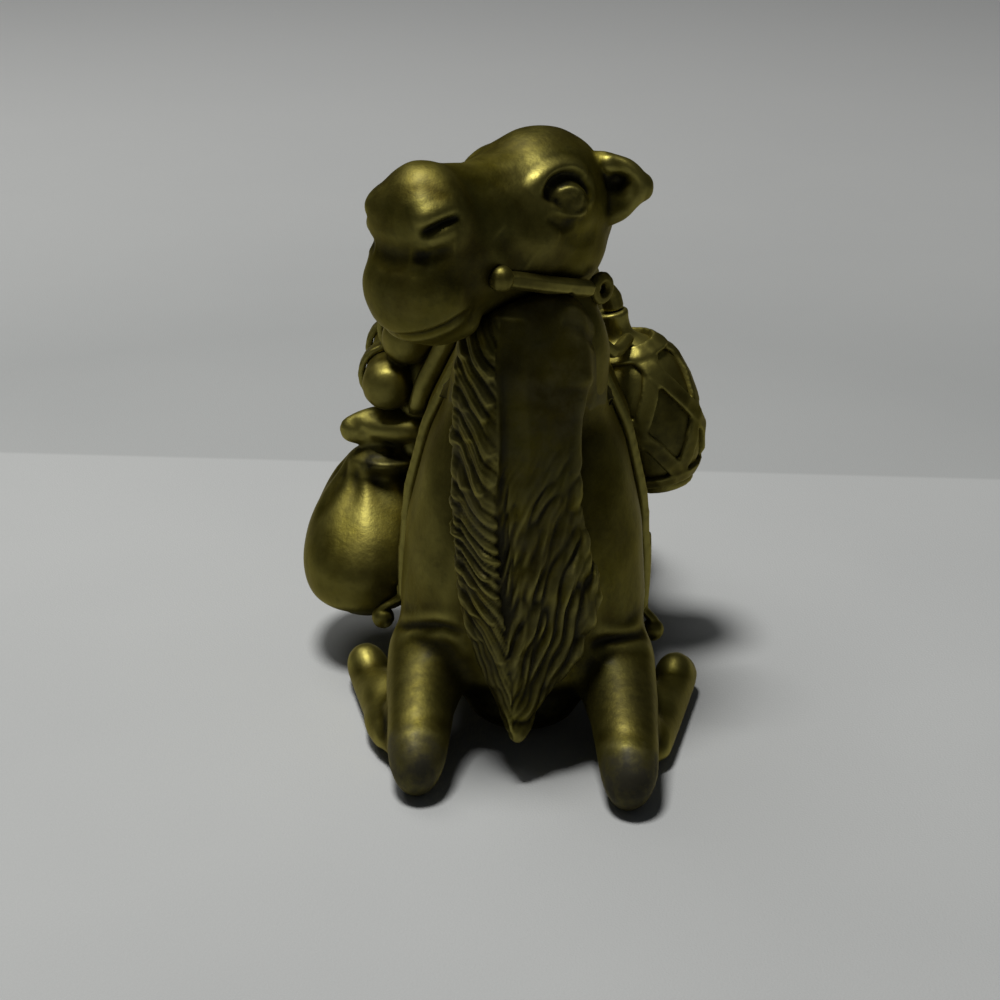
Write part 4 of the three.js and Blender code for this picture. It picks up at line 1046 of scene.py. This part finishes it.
# sack with its gathered mouth
sackLook = {
    "voxel": 0.35,
    "grow": 0.3,
    "smoothing": 70,
    "mouthRoll": ((-22.5, -1.6, 40.8), (6.5, 2.8, 2.3)),  # fold along the mouth's front: place, radii
    # the mouth keeps most of its ruffles: start from the body's top, reach, share
    "ruffleFrom": (-6.0, 4.0),
    "ruffleKeep": 0.7,
    # the belly hangs forward of the gathered neck: amounts, then share of the height and reach
    "bellyOut": 6.0,
    "bellyBelow": (0.85, -0.5),
    "neckIn": 2.2,
    "neckFrom": (0.55, 0.3),
    "footReach": 0.25,
    "bellySmoothing": 12,
    "tieSmoothing": 40,
    "tieMargin": 1.0,
    # pleats below the mouth: number, depth, start and reach, then how far they stray
    "pleats": 9,
    "pleatDepth": 0.22,
    "pleatFrom": (-2.0, 15.0),
    "pleatStray": 1.5,
    # uneven places: scale and seed of the noise
    "strayNoise": (8.0, 5),
    "dents": 0.15,
    "dentNoise": (7.0, 6),
    "lastSmoothing": 2,
    # lines over the photograph: pixels, width, height
    "folds": [
        ([(374, 424), (367, 431), (362, 440)], 1.6, -0.2),
        ([(350, 419), (358, 427), (364, 436)], 1.4, -0.2),
        ([(384, 440), (390, 446), (394, 454)], 1.4, -0.2),
    ],
    # spots of painted light and shade: pixel, radius, amount; painted highlights on the fold along the
    # mouth and on the sack's shoulder, painted shadow under the mouth
    "paintedLight": [
        ((395, 428), 8.0, 1.5), ((372, 500), 7.0, 0.2),
        ((372, 460), 2.6, -1.0), ((394, 460), 2.6, -1.0),
    ],
}


def makeSack():
    members = ["sack_body", "sack_mouth", "sack_tie"]
    sack = castFrom("sack", members, sackLook["voxel"], sackLook["grow"], [sackLook["mouthRoll"]])
    low, high = nodeBox("sack_body")
    ruffled = ramp(sack.points[:, 2] - high[2], *sackLook["ruffleFrom"])
    sack.smooth(sackLook["smoothing"], where=1 - sackLook["ruffleKeep"] * ruffled)
    p = sack.points - (low + high) / 2
    rise = (p[:, 2] / (high[2] - low[2]) + 0.5).clip(0, 1)
    ahead = smoothstep(0.5 - p[:, 1] / (high[1] - low[1])) * (1 - ruffled)
    sag = sackLook["neckIn"] * ramp(rise, *sackLook["neckFrom"])
    sag = sag - sackLook["bellyOut"] * ramp(rise, *sackLook["bellyBelow"])
    sack.points[:, 1] += ahead * sag * smoothstep(rise / sackLook["footReach"])
    sack.smooth(sackLook["bellySmoothing"], where=1 - ruffled)
    tied = sack.near([nodeBox("sack_tie")], sackLook["tieMargin"])
    sack.smooth(sackLook["tieSmoothing"], where=tied)
    p = sack.points - (low + high) / 2
    angle = np.arctan2(p[:, 1], p[:, 0])
    gather = ramp(p[:, 2], *sackLook["pleatFrom"]) * (1 - ruffled)
    stray = sackLook["pleatStray"] * grain(p, *sackLook["strayNoise"])
    sack.push(sackLook["pleatDepth"] * gather * np.cos(sackLook["pleats"] * angle + stray))
    sack.push(sackLook["dents"] * grain(p, *sackLook["dentNoise"]))
    for pixels, width, height in sackLook["folds"]:
        sack.stroke(sack.trace(pixels), width, height)
    sack.smooth(sackLook["lastSmoothing"])
    show(sack, loadBrass, members, paintedLight=sackLook["paintedLight"])


# bed rolls, their straps, the netted jug, the ropes, the halter and the tassels
plainPieces = [
    # piece, its solids, voxel, smoothing, swelling
    ("bedRolls", ["bed_roll_lower", "bed_roll_upper"], 0.35, 16, 0.3),
    ("rollStrapFront", ["roll_strap_front"], 0.25, 3, 0.2),
    ("rollStrapRear", ["roll_strap_rear"], 0.25, 3, 0.2),
    ("jug", ["jug_body"], 0.35, 30, 0.2),
    ("jugNet", ["jug_net"], 0.25, 8, 0.5),
    ("jugStopper", ["jug_stopper"], 0.22, 6, 0.25),
    ("loadRope", ["load_rope"], 0.25, 6, 0.3),
    ("halterChin", ["halter_chin_rope"], 0.25, 6, 0.3),
]
for side in ("left", "right"):
    hand = side.capitalize()
    plainPieces.append(("halterKnob" + hand, ["halter_knob_" + side], 0.2, 10, 0.25))
    plainPieces.append(("halterRing" + hand, ["halter_ring_" + side], 0.2, 6, 0.4))
    plainPieces.append(("cheekRope" + hand, ["halter_cheek_rope_" + side], 0.2, 5, 0.5))
    plainPieces.append(("tassel" + hand, ["tassel_front_" + side], 0.2, 6, 0.25))
# pieces drawn larger, smaller or moved, about a solid's middle: that solid, sizes, move
resized = {
    "jug": ("jug_body", (1.15, 1.11, 1.03), (-0.5, 0, 0)),
    "jugNet": ("jug_body", (1.05, 1.02, 0.99), (-0.5, 0, 0)),
    "jugStopper": ("jug_stopper", (0.9, 0.9, 1.0), (-0.6, 0, 0.6)),
    "halterRingLeft": ("halter_ring_left", (0.78, 0.78, 0.78), (-0.5, 0, -0.3)),
    "halterRingRight": ("halter_ring_right", (0.78, 0.78, 0.78), (0, -0.5, -0.3)),
    "tasselLeft": ("tassel_front_left", (1.0, 1.0, 1.0), (0.2, 0, 0.3)),
    "tasselRight": ("tassel_front_right", (1.0, 1.0, 1.0), (-2.0, 0, 1.2)),
}
# the jug leans with its net and stopper, the top towards the neck: share of the height
jugLean = 0.07
jugPieces = ("jug", "jugNet", "jugStopper")
# how far the tassels' cords lie in against the cloth, and from where above the foot: start, reach
cordsIn = {"tasselLeft": -2.0, "tasselRight": 3.4}
cordFrom = (3.5, 3.0)
# spots of painted light and shade: pixel, radius, amount; painted highlights on the cheek rope and the
# jug's upper left, painted shade low on the jug
loadPaintedLight = {
    "cheekRopeLeft": [((540, 273), 8.0, 0.6), ((575, 280), 8.0, 0.6)],
    "jug": [((624, 356), 9.0, 1.0), ((662, 440), 9.0, -0.6)],
    "jugNet": [((624, 356), 9.0, 1.2), ((662, 445), 8.0, -0.5)],
}


def makePlain():
    jugHeight = (sum(nodeBox("jug_body")) / 2)[2]
    for name, members, voxel, smoothing, swelling in plainPieces:
        piece = castFrom(name, members, voxel, swelling)
        piece.smooth(smoothing)
        if name in resized:
            solid, sizes, move = resized[name]
            middle = sum(nodeBox(solid)) / 2
            piece.points = middle + (piece.points - middle) * sizes + move
        up = piece.points[:, 2]
        if name in jugPieces:
            piece.points[:, 0] -= jugLean * (up - jugHeight)
        if name in cordsIn:
            piece.points[:, 0] += cordsIn[name] * ramp(up - up.min(), *cordFrom)
        piece.refresh()
        show(piece, loadBrass, members, paintedLight=loadPaintedLight.get(name, ()))


makeHide()
makeHead()
makeMane()
makeCloth("saddleBlanket", "saddle_blanket", clothLook["smoothing"])
makeCloth("saddlePad", "saddle_pad", clothLook["padSmoothing"], clothLook["padHem"])
makeSack()
makePlain()
for name in hiddenParts:
    nodes[name].data.materials.clear()
    nodes[name].data.materials.append(bareBrass)
print("dowels and sleeves given bare brass")


# one wide pale cloth, painted darker beyond a line behind the figure as the shade of a backdrop
stageLook = {
    # the two tones of the cloth before and beyond the line of painted shade, and its tone far off
    "cloth": ((0.47, 0.48, 0.475), (0.40, 0.41, 0.41)),
    "paintedShadeBeyond": ((0.395, 0.405, 0.40), (0.345, 0.355, 0.355)),
    "farOff": (0.88, 0.89, 0.885),
    "shadeLineY": 86.5,
    "shadeLineSharpness": 700.0,
    # distances from the figure where the cloth starts to pale and is palest, and its half width
    "paleFrom": 190.0,
    "paleTo": 800.0,
    "reach": 4000.0,
    # noises: scale, detail, roughness
    "cloudNoise": (9.0, 3.0, 0.55),
    "weaveNoise": (2600.0, 1.0, 0.55),
    "weaveStrength": 0.2,
    "weaveDepth": 0.3,
    "roughness": 0.9,
}


def paleCloth():
    material = bpy.data.materials.new("paleCloth")
    material.use_nodes = True
    tree = material.node_tree
    shader = tree.nodes["Principled BSDF"]
    w = Wire(tree)
    place = w.node("ShaderNodeTexCoord", out="Object")
    cloud = w.noise(place, *stageLook["cloudNoise"])

    def clouded(key):
        light, dark = stageLook[key]
        return cloud.blend(colour(*dark), colour(*light))

    depth = w.node("ShaderNodeSeparateXYZ", None, {0: place}, out="Y")
    # past the line the cloth takes darker tones: painted shade where a backdrop would stand
    shadeLineAt = (stageLook["shadeLineY"] + shift[1]) / metre
    shadeLine = ((depth - shadeLineAt) * stageLook["shadeLineSharpness"]).clamp()
    shadedCloth = shadeLine.blend(clouded("cloth"), clouded("paintedShadeBeyond"))
    away = w.node("ShaderNodeVectorMath", {"operation": "LENGTH"}, {0: place}, out="Value")
    start, end = stageLook["paleFrom"] / metre, stageLook["paleTo"] / metre
    far = ((away - start) * (1 / (end - start))).clamp()
    tone = far.blend(shadedCloth, colour(*stageLook["farOff"]))
    weave = w.noise(place, *stageLook["weaveNoise"])
    size = {"Strength": stageLook["weaveStrength"], "Distance": stageLook["weaveDepth"] / metre}
    bump = w.node("ShaderNodeBump", None, {**size, "Height": weave})
    tree.links.new(tone.socket, shader.inputs["Base Color"])
    tree.links.new(bump.socket, shader.inputs["Normal"])
    shader.inputs["Roughness"].default_value = stageLook["roughness"]
    return material


def makeStage():
    reach = stageLook["reach"] / metre
    mesh = bpy.data.meshes.new("floorCloth")
    corners = [(-reach, -reach, 0), (reach, -reach, 0), (reach, reach, 0), (-reach, reach, 0)]
    mesh.from_pydata(corners, [], [(0, 1, 2, 3)])
    mesh.materials.append(paleCloth())
    cloth = bpy.data.objects.new("floorCloth", mesh)
    scene.collection.objects.link(cloth)


# soft light from above and a weaker one from behind
lightLook = {
    "worldColour": (0.62, 0.66, 0.7),
    "worldStrength": 0.06,
    "tint": (1.0, 0.99, 0.97),
    "aim": (-60, 0, 0),
    # lamps: place, size, power
    "lamps": {
        "ceilingSoft": ((-130, -45, 760), 190, 5.0),
        "windowSoft": ((-260, 250, 600), 420, 0.9),
    },
}


def makeLamp(name, place, size, power):
    data = bpy.data.lights.new(name, "AREA")
    data.shape, data.size = "DISK", size / metre
    data.energy, data.color = power, lightLook["tint"]
    lamp = bpy.data.objects.new(name, data)
    scene.collection.objects.link(lamp)
    lamp.location = Vector(np.array(place) + shift) / metre
    aim = Vector(shift + lightLook["aim"]) / metre
    lamp.rotation_euler = (aim - lamp.location).to_track_quat("-Z", "Y").to_euler()


def makeLight():
    world = bpy.data.worlds.new("studio")
    scene.world = world
    world.use_nodes = True
    ground = world.node_tree.nodes["Background"]
    ground.inputs["Color"].default_value = colour(*lightLook["worldColour"])
    ground.inputs["Strength"].default_value = lightLook["worldStrength"]
    for name, (place, size, power) in lightLook["lamps"].items():
        makeLamp(name, place, size, power)
    scene.view_settings.view_transform = "Standard"


makeStage()
makeLight()
print("stage and light set")
